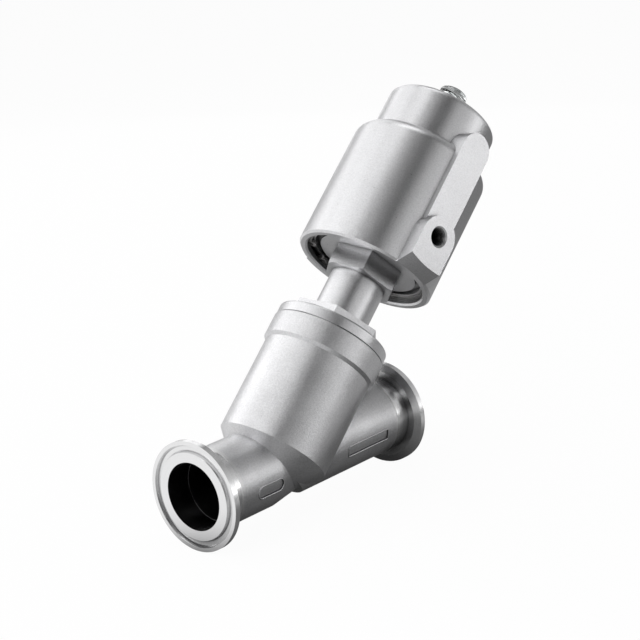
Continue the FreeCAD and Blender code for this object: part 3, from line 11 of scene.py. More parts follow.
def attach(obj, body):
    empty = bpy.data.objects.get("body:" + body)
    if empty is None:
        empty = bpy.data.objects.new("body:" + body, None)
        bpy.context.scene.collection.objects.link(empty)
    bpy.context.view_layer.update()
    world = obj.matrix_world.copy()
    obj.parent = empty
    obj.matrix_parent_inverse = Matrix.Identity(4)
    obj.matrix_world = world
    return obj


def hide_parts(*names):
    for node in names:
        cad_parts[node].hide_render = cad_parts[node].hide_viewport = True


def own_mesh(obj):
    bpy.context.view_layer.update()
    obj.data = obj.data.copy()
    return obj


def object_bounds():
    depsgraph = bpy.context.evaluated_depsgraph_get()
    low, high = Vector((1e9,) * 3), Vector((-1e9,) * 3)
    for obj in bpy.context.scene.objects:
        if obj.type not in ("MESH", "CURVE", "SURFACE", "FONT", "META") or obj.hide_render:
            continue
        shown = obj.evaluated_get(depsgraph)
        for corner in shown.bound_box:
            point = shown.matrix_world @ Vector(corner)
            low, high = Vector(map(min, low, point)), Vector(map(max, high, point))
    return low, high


bl_info = {
    "name": "Angle Seat Valve",
    "version": (1, 0, 0),
    "blender": (4, 5, 0),
    "location": "View3D > Sidebar > Valve",
    "description": "Dresses the angle seat valve with its finishes, springs, welds and studio",
    "category": "Object",
}

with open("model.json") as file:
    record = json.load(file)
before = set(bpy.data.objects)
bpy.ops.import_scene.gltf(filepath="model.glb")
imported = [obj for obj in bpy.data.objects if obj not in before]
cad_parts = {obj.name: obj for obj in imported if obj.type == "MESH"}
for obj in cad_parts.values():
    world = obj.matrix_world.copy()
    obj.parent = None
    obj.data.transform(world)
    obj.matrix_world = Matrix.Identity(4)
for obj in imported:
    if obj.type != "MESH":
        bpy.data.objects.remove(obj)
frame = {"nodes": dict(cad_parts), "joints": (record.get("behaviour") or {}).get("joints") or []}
CAD_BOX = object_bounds()

MM = 0.001
CROSSING = Vector((46.8 * MM, 0.0, 0.0))
TILT = math.radians(45.0)
BRANCH = Vector((math.sin(TILT), 0.0, math.cos(TILT)))
ACROSS = Vector((math.cos(TILT), 0.0, -math.sin(TILT)))
SIDE = Vector((0.0, 1.0, 0.0))
CASING_TURN = math.radians(-12.5)
PORT_OUT = -SIDE * math.cos(CASING_TURN) + ACROSS * math.sin(CASING_TURN)
PORT_ACROSS = ACROSS * math.cos(CASING_TURN) + SIDE * math.sin(CASING_TURN)

# What lathe marks run round: a point on the axis, the axis and two directions across it
ROUND_PIPE = ((0, 0, 0), (1, 0, 0), (0, 0, 1), (0, 1, 0))
ROUND_BRANCH = (CROSSING, BRANCH, ACROSS, SIDE)

# How far the painted shade darkens the tone of steel inside bores and ports
HOLLOW_SHARE = 0.09

# Return springs: turns, flat turns at each end, points in a turn and sides of the wire
OUTER_TURNS = 5.5
INNER_TURNS = 7.5
FLAT_TURNS = 0.9
POINTS_PER_TURN = 40
WIRE_SIDES = 14

# Weld beads: name and place along the pipe, then the bead's points, ripples and edge
PIPE_RADIUS = 18.35 * MM
WELDS = (("inlet_weld", 12.7 * MM), ("outlet_weld", 120.1 * MM))
BEAD_STEPS = 220
BEAD_ROWS = 9
BEAD_RIPPLES = 55.0
BEAD_EDGE_DEPTH = 0.04 * MM

# Rims round the bare panels: name, middle from the crossing, half length, half width, corner
PANEL_RIMS = (
    ("inlet_panel_rim", -16.3 * MM, 8.2 * MM, 3.0 * MM, 2.9 * MM),
    ("outlet_panel_rim", 51.7 * MM, 14.6 * MM, 2.6 * MM, 0.8 * MM),
)
PANEL_LEAN = math.radians(6.8)
RIM_RADIUS = 0.34 * MM
RIM_SIDES = 10
RIM_SPACING = 0.8 * MM
RIM_CORNER_STEPS = 8

# Port threads: name, way out of the port, and start and stop from the branch's axis
PORT_THREADS = (
    ("front_port_thread", PORT_OUT, 32.0 * MM, 38.6 * MM),
    ("rear_port_thread", -PORT_OUT, 30.8 * MM, 38.6 * MM),
)
PORT_LEVEL = 124.0 * MM
THREAD_PITCH = 0.907 * MM
THREAD_RADIUS = 4.36 * MM
RIDGE_RADIUS = 0.24 * MM
RIDGE_SIDES = 6
POINTS_PER_THREAD = 32

# Studio: floor, the point that the panels face, and the camera's place and directions
FLOOR_REACH = 6.0
FLOOR_WHITE = 0.96
AIM = Vector((0.11, 0.0, 0.075))
CAMERA_PLACE = (-0.4656, -0.4825, 0.2824)
CAMERA_RIGHT = Vector((0.6488, -0.7602, -0.0348))
CAMERA_UP = Vector((0.2443, 0.1647, 0.9556))

# Soft panels: name, degrees round the valve from +X, degrees up, width, height and brightness
SOFT_PANELS = (
    ("back_left_low", 85, 18, 0.6, 0.5, 0.8),
    ("back_left_high", 108, 41, 0.6, 0.6, 0.95),
    ("back_low", 110, 12, 0.5, 0.4, 1.65),
    ("left_high", 144, 58, 0.6, 0.6, 0.87),
    ("left_low", 136, 10, 0.8, 0.36, 0.95),
    ("left_middle", 175, 22, 0.6, 0.6, 1.55),
    ("front_left_middle", -165, 32, 0.5, 0.5, 2.2),
    ("front_left_high", -157, 62, 0.6, 0.6, 0.28),
    ("front_high", -96, 34, 0.5, 0.3, 0.72),
    ("front_middle", -88, 17, 0.4, 0.3, 0.6),
    ("front_low", -70, 9, 0.45, 0.34, 0.48),
    ("front_strip", -60, 1, 0.6, 0.14, 1.4),
    ("front_right_low", -50, 6, 0.4, 0.3, 0.4),
    ("right_high", 5, 44, 0.6, 0.6, 0.2),
    ("back_right_low", 40, 10, 0.6, 0.4, 1.1),
    ("back_high", 60, 40, 0.6, 0.6, 1.15),
    ("overhead", 40, 80, 0.6, 0.6, 1.85),
)

# The room's own glow: degrees round the valve from +X, and brightness
ROOM_GLOW = ((136, 1.1), (-44, 0.73), (46, 0.17))

# What metal sees of the floor: painted shade, as tones by distance from the valve's foot and by
# side
LEFTWARD = (-0.72, 0.69, 0.0)
LEFT_EDGE = (-0.02, 0.05)
FOOT = (0.09, 0.0)
NEAR_RING, MIDDLE_RING, FAR_RING = (0.07, 0.13), (0.2, 0.3), (0.55, 0.8)
FOOT_SHADOW_TONE, NEAR_GAIN, MIDDLE_LOSS, FAR_LOSS = 0.15, 0.34, 0.24, 0.3


# Settings that a user would change

class ValveFinishSettings(bpy.types.PropertyGroup):
    """Colours of the valve's finishes"""
    cast_light: bpy.props.FloatVectorProperty(
        name="Blasted steel, light", description="Lighter patches of the blasted casting",
        subtype="COLOR", size=3, min=0.0, max=1.0, default=(0.74, 0.74, 0.75))
    cast_dark: bpy.props.FloatVectorProperty(
        name="Blasted steel, dark", description="Darker patches of the blasted casting",
        subtype="COLOR", size=3, min=0.0, max=1.0, default=(0.48, 0.48, 0.49))
    turned_light: bpy.props.FloatVectorProperty(
        name="Turned steel, light", description="Crests of the lathe marks",
        subtype="COLOR", size=3, min=0.0, max=1.0, default=(0.72, 0.72, 0.725))
    turned_dark: bpy.props.FloatVectorProperty(
        name="Turned steel, dark", description="Valleys of the lathe marks",
        subtype="COLOR", size=3, min=0.0, max=1.0, default=(0.62, 0.62, 0.625))
    ferrule_light: bpy.props.FloatVectorProperty(
        name="Ferrule steel, light", description="Crests of the lathe marks on the clamp ferrules",
        subtype="COLOR", size=3, min=0.0, max=1.0, default=(0.84, 0.84, 0.845))
    ferrule_dark: bpy.props.FloatVectorProperty(
        name="Ferrule steel, dark", description="Valleys of the lathe marks on the clamp ferrules",
        subtype="COLOR", size=3, min=0.0, max=1.0, default=(0.74, 0.74, 0.745))
    spring_tint: bpy.props.FloatVectorProperty(
        name="Spring steel", description="Drawn wire and stamped rings",
        subtype="COLOR", size=3, min=0.0, max=1.0, default=(0.36, 0.355, 0.35))
    piston_tint: bpy.props.FloatVectorProperty(
        name="Piston metal", description="Turned light metal of the piston",
        subtype="COLOR", size=3, min=0.0, max=1.0, default=(0.70, 0.70, 0.71))
    seal_white: bpy.props.FloatVectorProperty(
        name="White seals", description="Turned sealing plastic",
        subtype="COLOR", size=3, min=0.0, max=1.0, default=(0.82, 0.81, 0.77))
    bush_brown: bpy.props.FloatVectorProperty(
        name="Bush plastic", description="Moulded bearing plastic",
        subtype="COLOR", size=3, min=0.0, max=1.0, default=(0.26, 0.22, 0.17))
    rubber_black: bpy.props.FloatVectorProperty(
        name="Rubber", description="Moulded rubber seals",
        subtype="COLOR", size=3, min=0.0, max=1.0, default=(0.025, 0.025, 0.026))
    flag_red: bpy.props.FloatVectorProperty(
        name="Indicator red", description="Head of the indicator rod",
        subtype="COLOR", size=3, min=0.0, max=1.0, default=(0.62, 0.03, 0.02))
    lens_clear: bpy.props.FloatVectorProperty(
        name="Lens", description="Clear moulded plastic of the lens",
        subtype="COLOR", size=3, min=0.0, max=1.0, default=(0.82, 0.84, 0.84))


class ValvePieceSettings(bpy.types.PropertyGroup):
    """Sizes of the return springs and the weld beads"""
    outer_spring_radius: bpy.props.FloatProperty(
        name="Outer spring radius", description="Branch axis to the middle of the wire",
        unit="LENGTH", default=19.6 * MM)
    outer_spring_wire: bpy.props.FloatProperty(
        name="Outer spring wire", description="Radius of the wire", unit="LENGTH", default=1.7 * MM)
    inner_spring_radius: bpy.props.FloatProperty(
        name="Inner spring radius", description="Branch axis to the middle of the wire",
        unit="LENGTH", default=12.6 * MM)
    inner_spring_wire: bpy.props.FloatProperty(
        name="Inner spring wire", description="Radius of the wire", unit="LENGTH", default=1.2 * MM)
    spring_foot: bpy.props.FloatProperty(
        name="Spring foot", description="Lower end of both springs along the branch",
        unit="LENGTH", default=138.4 * MM)
    spring_top: bpy.props.FloatProperty(
        name="Spring top", description="Upper end of both springs along the branch",
        unit="LENGTH", default=189.3 * MM)
    weld_width: bpy.props.FloatProperty(
        name="Weld width", description="Width of the dressed weld beads",
        unit="LENGTH", default=2.2 * MM)
    weld_height: bpy.props.FloatProperty(
        name="Weld height", description="Height of the weld beads over the pipe",
        unit="LENGTH", default=0.06 * MM)


class ValveStageSettings(bpy.types.PropertyGroup):
    """Camera, light and floor of the studio"""
    focal_length: bpy.props.FloatProperty(
        name="Focal length", description="Lens of the camera, on a frame 36 mm wide", default=93.72)
    light_level: bpy.props.FloatProperty(
        name="Light level", description="Brightness of all soft panels together", default=1.0)
    ambient: bpy.props.FloatProperty(
        name="Ambient", description="Strength of the room's own glow", default=1.0)
    panel_distance: bpy.props.FloatProperty(
        name="Panel distance", description="From the valve to each soft panel",
        unit="LENGTH", default=1.0)
    floor_colour: bpy.props.FloatVectorProperty(
        name="Floor", description="Pale floor under the valve",
        subtype="COLOR", size=3, min=0.0, max=1.0, default=(0.92, 0.92, 0.92))


# Shader arithmetic

class Wire:
    """A shader socket that takes part in Python arithmetic."""

    def __init__(self, recipe, socket):
        self.recipe = recipe
        self.socket = socket

    def maths(self, operation, *values):
        """The value that one step of arithmetic gives."""
        sockets = dict(enumerate(values))
        return self.recipe.node("ShaderNodeMath", {"operation": operation}, sockets)[0]

    def __add__(self, other):
        return self.maths("ADD", self, other)

    __radd__ = __add__

    def __sub__(self, other):
        return self.maths("SUBTRACT", self, other)

    def __rsub__(self, other):
        return self.maths("SUBTRACT", other, self)

    def __mul__(self, other):
        return self.maths("MULTIPLY", self, other)

    __rmul__ = __mul__

    def __pow__(self, other):
        return self.maths("POWER", self, other)


class Recipe:
    """A material or a world under construction."""

    def __init__(self, name, world=None):
        self.owner = world or bpy.data.materials.new(name)
        self.owner.use_nodes = True
        self.tree = self.owner.node_tree
        self.tree.nodes.clear()

    def node(self, kind, choices=None, sockets=None):
        """Adds a node of a type, with its choices first and then its inputs."""
        made = self.tree.nodes.new(kind)
        for key, value in (choices or {}).items():
            if key == "stops":
                ramp = made.color_ramp
                while len(ramp.elements) < len(value):
                    ramp.elements.new(0.5)
                for element, (place, tone) in zip(ramp.elements, value):
                    element.position = place
                    element.color = (tone, tone, tone, 1.0)
            else:
                setattr(made, key, value)
        for key, value in (sockets or {}).items():
            if isinstance(value, Wire):
                self.tree.links.new(value.socket, made.inputs[key])
            else:
                made.inputs[key].default_value = value
        return [Wire(self, socket) for socket in made.outputs]

    def mix(self, factor, first, second):
        """A colour between two colours."""
        ends = {0: factor, 6: rgba(first), 7: rgba(second)}
        return self.node("ShaderNodeMix", {"data_type": "RGBA", "clamp_factor": True}, ends)[2]

    def ramp(self, value, low, high):
        """Nought below the low value, one above the high value and straight between them."""
        return self.node("ShaderNodeValToRGB", {"stops": [(low, 0.0), (high, 1.0)]}, {0: value})[0]

    def smooth_step(self, value, low, high):
        """Nought below the low value, one above the high value and a soft curve between them."""
        return self.node("ShaderNodeMapRange", {"interpolation_type": "SMOOTHSTEP"},
                         {"Value": value, "From Min": low, "From Max": high})[0]

    def place(self):
        """The point on the object, in the model's own frame."""
        return self.node("ShaderNodeTexCoord")[3]

    def dot(self, vector, direction):
        """A vector's length along a direction."""
        return self.node("ShaderNodeVectorMath", {"operation": "DOT_PRODUCT"},
                         {0: vector, 1: tuple(direction)})[1]

    def combine(self, x, y, z):
        """A vector from three values."""
        return self.node("ShaderNodeCombineXYZ", None, {0: x, 1: y, 2: z})[0]

    def noise(self, vector, scale, detail=3.0, roughness=0.55):
        """Smooth random values from nought to one."""
        return self.node("ShaderNodeTexNoise", {"noise_dimensions": "3D"},
                         {"Vector": vector, "Scale": scale, "Detail": detail,
                          "Roughness": roughness})[0]

    def shaded_hollows(self, colour, dark, reach, closed, clear):
        """Painted shade: a colour that falls to a deep one in bores and ports, where hardly any
        light comes, darkened by ambient occlusion.
        """
        open_share = self.node("ShaderNodeAmbientOcclusion", {"samples": 8},
                               {"Distance": reach})[1]
        return self.mix(self.ramp(open_share, closed, clear), dimmed(dark, HOLLOW_SHARE), colour)

    def bump(self, height, strength, distance):
        """A normal from a height."""
        return self.node("ShaderNodeBump", None,
                         {"Strength": strength, "Distance": distance, "Height": height})[0]

    def finish(self, **sockets):
        """Ends the material in one principled shader."""
        names = {key.replace("_", " ").title().replace("Ior", "IOR"): value
                 for key, value in sockets.items()}
        shader = self.node("ShaderNodeBsdfPrincipled", None, names)[0]
        self.node("ShaderNodeOutputMaterial", None, {"Surface": shader})
        return self.owner


def rgba(colour):
    """A colour as a socket wants it."""
    return colour if isinstance(colour, Wire) else (*tuple(colour)[:3], 1.0)


def dimmed(colour, share):
    """A darker shade of a colour."""
    return tuple(channel * share for channel in colour)


def around(recipe, axes):
    """Distance along an axis, distance from it and angle about it."""
    centre, axis, across, side = axes
    from_centre = recipe.node("ShaderNodeVectorMath", {"operation": "SUBTRACT"},
                              {0: recipe.place(), 1: tuple(centre)})[0]
    along = recipe.dot(from_centre, axis)
    first = recipe.dot(from_centre, across)
    second = recipe.dot(from_centre, side)
    radius = (first * first + second * second) ** 0.5
    angle = radius.maths("ARCTAN2", second, first)
    return along, radius, angle


# Finishes

def blasted_steel(name, light, dark):
    """Stainless casting after fine blasting: an even grain with faint cloudy patches."""
    recipe = Recipe(name)
    place = recipe.place()
    clouds = recipe.noise(place, scale=70.0, detail=4.0)
    grain = recipe.noise(place, scale=2600.0, detail=2.0, roughness=0.7)
    pits = recipe.noise(place, scale=1300.0, detail=3.0, roughness=0.6)
    patch = recipe.ramp(clouds, low=0.35, high=0.68)
    speckle = recipe.ramp(pits, low=0.3, high=0.7)
    colour = recipe.mix(patch * 0.25 + grain * 0.25 + speckle * 0.5, dark, light)
    # Painted shade: the colour darkens in bores and ports by ambient occlusion
    colour = recipe.shaded_hollows(colour, dark, reach=45.0 * MM, closed=0.2, clear=0.6)
    return recipe.finish(base_color=colour, metallic=1.0,
                         roughness=0.26 + 0.09 * grain + 0.05 * clouds,
                         normal=recipe.bump(grain * 0.4 + pits * 0.6, 0.8, 0.18 * MM))


def turned_steel(name, light, dark, axes=ROUND_BRANCH, rough=0.20, hollow=None):
    """Machined steel with fine lathe marks around its own axis."""
    recipe = Recipe(name)
    along, radius, angle = around(recipe, axes)
    marks = recipe.noise(recipe.combine(along * 5200.0, radius * 5200.0, angle * 0.35),
                         scale=1.0, detail=3.0, roughness=0.65)
    broad = recipe.noise(recipe.combine(along * 420.0, radius * 420.0, angle * 0.8),
                         scale=1.0, detail=2.0)
    handling = recipe.noise(recipe.place(), scale=120.0, detail=4.0, roughness=0.6)
    colour = recipe.mix(marks * 0.6 + handling * 0.4, dark, light)
    # Painted shade: when a reach is given, the colour darkens in bores and ports by ambient
    # occlusion
    if hollow:
        colour = recipe.shaded_hollows(colour, dark, hollow, closed=0.2, clear=0.6)
    return recipe.finish(base_color=colour, metallic=1.0,
                         roughness=rough + 0.10 * marks + 0.06 * broad + 0.04 * handling,
                         normal=recipe.bump(marks * 0.7 + broad * 0.3, 0.35, 0.02 * MM))


def satin_steel(name, light, dark, hollow=18.0 * MM):
    """Satin steel: fine brushing round the branch over an even grain."""
    recipe = Recipe(name)
    along, radius, angle = around(recipe, ROUND_BRANCH)
    place = recipe.place()
    grain = recipe.noise(place, scale=1500.0, detail=3.0, roughness=0.7)
    speckle = recipe.ramp(grain, low=0.3, high=0.7)
    clouds = recipe.noise(place, scale=55.0, detail=4.0)
    brushing = recipe.noise(recipe.combine(along * 2600.0, radius * 900.0, angle * 5.0),
                            scale=1.0, detail=3.0, roughness=0.6)
    colour = recipe.mix(speckle * 0.5 + brushing * 0.3 + clouds * 0.2, dark, light)
    # Painted shade: the colour darkens in bores and ports by ambient occlusion
    colour = recipe.shaded_hollows(colour, dark, hollow, closed=0.3, clear=0.72)
    return recipe.finish(base_color=colour, metallic=1.0,
                         roughness=0.22 + 0.07 * grain + 0.05 * brushing + 0.03 * clouds,
                         normal=recipe.bump(grain * 0.7 + brushing * 0.3, 0.8, 0.16 * MM))


def plain_plastic(name, colour, shade, rough, grain_scale, coat=0.0):
    """Moulded or turned plastic with a faint grain."""
    recipe = Recipe(name)
    place = recipe.place()
    grain = recipe.noise(place, grain_scale, detail=3.0)
    clouds = recipe.noise(place, scale=60.0, detail=2.0)
    mixed = recipe.mix(grain * 0.5 + clouds * 0.5, dimmed(colour, shade), colour)
    return recipe.finish(base_color=mixed, roughness=rough + 0.12 * grain, coat_weight=coat,
                         normal=recipe.bump(grain, 0.2, 0.04 * MM))


def clear_plastic(name, colour):
    """Clear moulded plastic of the indicator lens, with faint flow marks."""
    recipe = Recipe(name)
    flow = recipe.noise(recipe.place(), scale=240.0, detail=2.0)
    mixed = recipe.mix(flow, dimmed(colour, 0.97), colour)
    return recipe.finish(base_color=mixed, transmission_weight=1.0, ior=1.49,
                         roughness=0.03 + 0.05 * flow,
                         normal=recipe.bump(flow, 0.15, 0.03 * MM))


def dress(material, *names):
    """Gives CAD nodes a material."""
    for name in names:
        mesh = frame["nodes"][name].data
        mesh.materials.clear()
        mesh.materials.append(material)


def settings(context):
    """The settings of the finishes, the added pieces and the stage."""
    scene = context.scene
    return scene.valve_finish, scene.valve_pieces, scene.valve_stage


def make_piece(name, mesh, material, body):
    """Links a new mesh as a piece that rides on a body."""
    mesh.materials.append(material)
    for polygon in mesh.polygons:
        polygon.use_smooth = True
    piece = bpy.data.objects.new(name, mesh)
    bpy.context.scene.collection.objects.link(piece)
    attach(piece, body)
    return piece


def finished_mesh(name, build):
    """The mesh that a mesh under construction ends as."""
    mesh = bpy.data.meshes.new(name)
    build.to_mesh(mesh)
    build.free()
    return mesh


def tube_mesh(name, points, radius, sides, closed=False):
    """A tube of round section through points, with flat ends unless it closes on itself."""
    build = bmesh.new()
    count = len(points)
    rings = []
    reference = None
    for index, point in enumerate(points):
        before = points[index - 1] if index or closed else point
        after = points[(index + 1) % count] if index < count - 1 or closed else point
        direction = (after - before).normalized()
        if reference is None:
            reference = direction.orthogonal()
        reference = (reference - direction * reference.dot(direction)).normalized()
        other = direction.cross(reference)
        ring = []
        for step in range(sides):
            angle = 2 * math.pi * step / sides
            offset = (reference * math.cos(angle) + other * math.sin(angle)) * radius
            ring.append(build.verts.new(point + offset))
        rings.append(ring)
    pairs = list(zip(rings, rings[1:]))
    if closed:
        pairs.append((rings[-1], rings[0]))
    for first, second in pairs:
        for step in range(sides):
            following = (step + 1) % sides
            build.faces.new((first[step], first[following], second[following], second[step]))
    if not closed:
        build.faces.new(list(reversed(rings[0])))
        build.faces.new(rings[-1])
    return finished_mesh(name, build)


def on_branch(level, radius, angle):
    """A point from its height along the branch, its radius and its angle."""
    return CROSSING + BRANCH * level + (ACROSS * math.cos(angle) + SIDE * math.sin(angle)) * radius


# One operator for each piece or group of like pieces

class VALVE_OT_casting(bpy.types.Operator):
    """Gives the valve body its blasted finish"""
    bl_idname = "valve.casting"
    bl_label = "Valve body finish"

    def execute(self, context):
        finish, _, _ = settings(context)
        dress(blasted_steel("blasted_casting", finish.cast_light, finish.cast_dark), "valve_body")
        return {"FINISHED"}


class VALVE_OT_pipe_ends(bpy.types.Operator):
    """Gives the clamp ferrules lathe marks around the pipe"""
    bl_idname = "valve.pipe_ends"
    bl_label = "Clamp ferrules"

    def execute(self, context):
        finish, _, _ = settings(context)
        along_pipe = turned_steel("turned_ferrule", finish.ferrule_light, finish.ferrule_dark,
                                  ROUND_PIPE, rough=0.13, hollow=45.0 * MM)
        dress(along_pipe, "inlet_ferrule", "outlet_ferrule")
        return {"FINISHED"}


class VALVE_OT_branch_metal(bpy.types.Operator):
    """Gives the turned parts along the branch lathe marks or a satin brushing around it"""
    bl_idname = "valve.branch_metal"
    bl_label = "Turned parts of the branch"

    def execute(self, context):
        finish, _, _ = settings(context)
        turned = turned_steel("turned_branch", finish.turned_light, finish.turned_dark,
                              hollow=12.0 * MM)
        dress(turned, "packing_washer", "packing_gland", "stem", "plug", "seal_retainer",
              "plug_nut", "piston_washer", "piston_nut", "indicator_rod")
        satin = satin_steel("satin_branch", finish.cast_light, finish.cast_dark, hollow=5.0 * MM)
        dress(satin, "bonnet", "neck_tube", "lower_cover")
        piston = turned_steel("turned_piston", finish.piston_tint,
                              dimmed(finish.piston_tint, 0.85), rough=0.26)
        dress(piston, "piston")
        return {"FINISHED"}


class VALVE_OT_casing(bpy.types.Operator):
    """Gives the actuator's casing its satin finish"""
    bl_idname = "valve.casing"
    bl_label = "Actuator casing finish"

    def execute(self, context):
        finish, _, _ = settings(context)
        dress(satin_steel("satin_casing", finish.cast_light, finish.cast_dark), "casing")
        return {"FINISHED"}


class VALVE_OT_seals(bpy.types.Operator):
    """Gives gaskets, packing, bushes and O-rings their plastics and rubber"""
    bl_idname = "valve.seals"
    bl_label = "Seals and bushes"

    def execute(self, context):
        finish, _, _ = settings(context)
        white = plain_plastic("white_sealing_plastic", finish.seal_white, 0.9, 0.38, 1800.0)
        dress(white, "bonnet_gasket", "stem_packing", "plug_seal", "piston_guide")
        rubber = plain_plastic("seal_rubber", finish.rubber_black, 0.6, 0.48, 2400.0)
        dress(rubber, "stem_wiper", "cover_o_ring", "stem_seal", "lens_gasket", "piston_seal")
        bush = plain_plastic("bush_plastic", finish.bush_brown, 0.75, 0.42, 1500.0)
        dress(bush, "stem_bush")
        return {"FINISHED"}


class VALVE_OT_spring_metal(bpy.types.Operator):
    """Gives stamped spring steel parts their darker finish"""
    bl_idname = "valve.spring_metal"
    bl_label = "Circlip, packing springs and pin"

    def execute(self, context):
        finish, _, _ = settings(context)
        stamped = turned_steel("stamped_spring_steel", finish.spring_tint,
                               dimmed(finish.spring_tint, 0.7), rough=0.30)
        dress(stamped, "cover_circlip", "packing_springs", "plug_pin")
        return {"FINISHED"}


class VALVE_OT_springs(bpy.types.Operator):
    """Winds both return springs with closed ends"""
    bl_idname = "valve.springs"
    bl_label = "Return springs"

    def execute(self, context):
        finish, sizes, _ = settings(context)
        drawn = turned_steel("drawn_spring_wire", finish.spring_tint,
                             dimmed(finish.spring_tint, 0.75), rough=0.28)
        travel = next(joint["range_m"][1] for joint in frame["joints"]
                      if joint["name"] == "stem_lift")
        keep = 1.0 - travel / (sizes.spring_top - sizes.spring_foot)
        coils = (
            ("outer_spring", sizes.outer_spring_radius, sizes.outer_spring_wire, OUTER_TURNS),
            ("inner_spring", sizes.inner_spring_radius, sizes.inner_spring_wire, INNER_TURNS))
        for node, radius, wire, turns in coils:
            points = self.winding(sizes, radius, wire, turns)
            mesh = tube_mesh(f"{node}_wire", points, wire, WIRE_SIDES)
            piece = make_piece(f"wound_{node}", mesh, drawn, "actuator_casing")
            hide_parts(node)
            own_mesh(piece)
        return {"FINISHED"}

    def winding(self, sizes, radius, wire, turns):
        """Points along the wire of a spring, with flat turns at both ends."""
        foot = sizes.spring_foot + wire
        top = sizes.spring_top - wire
        open_turns = turns - 2 * FLAT_TURNS
        steps = int(turns * POINTS_PER_TURN)
        points = []
        for step in range(steps + 1):
            turn = turns * step / steps
            first = min(turn, FLAT_TURNS) * 2.0 * wire
            last = max(0.0, turn - (turns - FLAT_TURNS)) * 2.0 * wire
            middle = min(max(turn - FLAT_TURNS, 0.0), open_turns) / open_turns
            rise = first + last + middle * (top - foot - 4.0 * wire * FLAT_TURNS)
            points.append(on_branch(foot + rise, radius, 2 * math.pi * turn))
        return points


class VALVE_OT_indicator(bpy.types.Operator):
    """Gives the lens and the indicator's head their plastics"""
    bl_idname = "valve.indicator"
    bl_label = "Indicator"

    def execute(self, context):
        finish, _, _ = settings(context)
        dress(clear_plastic("clear_lens", finish.lens_clear), "indicator_lens")
        red = plain_plastic("indicator_red", finish.flag_red, 0.85, 0.25, 900.0, coat=0.3)
        dress(red, "indicator_flag")
        return {"FINISHED"}


class VALVE_OT_welds(bpy.types.Operator):
    """Lays the dressed weld beads between the ferrules and the body"""
    bl_idname = "valve.welds"
    bl_label = "Weld beads"

    def execute(self, context):
        finish, sizes, _ = settings(context)
        weld = blasted_steel("weld_metal", finish.turned_light, finish.turned_dark)
        for name, place in WELDS:
            make_piece(name, self.bead(name, place, sizes), weld, "valve")
        return {"FINISHED"}

    def bead(self, name, place, sizes):
        """A low ring over the pipe, rippled as the weld pool froze."""
        build = bmesh.new()
        rings = []
        for step in range(BEAD_STEPS):
            angle = 2 * math.pi * step / BEAD_STEPS
            ripple = 0.85 + 0.15 * math.sin(angle * BEAD_RIPPLES)
            wander = 0.08 * MM * math.sin(angle * 7.0) + 0.05 * MM * math.sin(angle * 13.0 + 1.0)
            ring = []
            for row in range(BEAD_ROWS):
                across = -1.0 + 2.0 * row / (BEAD_ROWS - 1)
                crown = (1.0 - across * across) * sizes.weld_height * ripple
                radius = PIPE_RADIUS + crown - (BEAD_EDGE_DEPTH if abs(across) == 1.0 else 0.0)
                along = place + wander + across * sizes.weld_width / 2
                point = (along, radius * math.cos(angle), radius * math.sin(angle))
                ring.append(build.verts.new(point))
            rings.append(ring)
        for first, second in zip(rings, rings[1:] + rings[:1]):
            for row in range(BEAD_ROWS - 1):
                build.faces.new((first[row], first[row + 1], second[row + 1], second[row]))
        return finished_mesh(name, build)


class VALVE_OT_panel_rims(bpy.types.Operator):
    """Raises a cast rim round the bare panels on both pipe stubs"""
    bl_idname = "valve.panel_rims"
    bl_label = "Cast panel rims"

    def execute(self, context):
        casting = bpy.data.materials["blasted_casting"]
        out = Vector((0.0, -math.cos(PANEL_LEAN), -math.sin(PANEL_LEAN)))
        up = Vector((0.0, -math.sin(PANEL_LEAN), math.cos(PANEL_LEAN)))
        for name, middle, half, side, corner in PANEL_RIMS:
            points = []
            for along, rise in self.outline(half, side, corner):
                depth = math.sqrt(PIPE_RADIUS * PIPE_RADIUS - rise * rise)
                beside = CROSSING + Vector((middle + along, 0.0, 0.0))
                points.append(beside + out * depth + up * rise)
            mesh = tube_mesh(name, points, RIM_RADIUS, RIM_SIDES, closed=True)
            make_piece(name, mesh, casting, "valve")
        return {"FINISHED"}

    def outline(self, half, side, corner):
        """Points round a rectangle with round corners, in even steps."""
        corners = ((half, side, 0), (-half, side, 90), (-half, -side, 180), (half, -side, 270))
        bends = []
        for x, y, start in corners:
            middle_x = x - math.copysign(corner, x)
            middle_y = y - math.copysign(corner, y)
            for step in range(RIM_CORNER_STEPS + 1):
                angle = math.radians(start + 90 * step / RIM_CORNER_STEPS)
                bends.append((middle_x + corner * math.cos(angle),
                              middle_y + corner * math.sin(angle)))
        points = []
        for first, second in zip(bends, bends[1:] + bends[:1]):
            gap = math.dist(first, second)
            if gap < 0.02 * MM:
                continue
            pieces = max(1, round(gap / RIM_SPACING))
            for step in range(pieces):
                share = step / pieces
                points.append((first[0] + (second[0] - first[0]) * share,
                               first[1] + (second[1] - first[1]) * share))
        return points


class VALVE_OT_port_threads(bpy.types.Operator):
    """Winds the ridge of a thread into both air ports"""
    bl_idname = "valve.port_threads"
    bl_label = "Port threads"

    def execute(self, context):
        finish, _, _ = settings(context)
        thread_metal = satin_steel("thread_metal", finish.cast_light, finish.cast_dark)
        centre = CROSSING + BRANCH * PORT_LEVEL
        for name, out, start, stop in PORT_THREADS:
            turns = (stop - start) / THREAD_PITCH
            steps = int(turns * POINTS_PER_THREAD)
            side = PORT_ACROSS.cross(out)
            points = []
            for step in range(steps + 1):
                angle = 2 * math.pi * turns * step / steps
                depth = start + (stop - start) * step / steps
                round_hole = PORT_ACROSS * math.cos(angle) + side * math.sin(angle)
                points.append(centre + out * depth + round_hole * THREAD_RADIUS)
            mesh = tube_mesh(name, points, RIDGE_RADIUS, RIDGE_SIDES)
            make_piece(name, mesh, thread_metal, "actuator_casing")
        return {"FINISHED"}


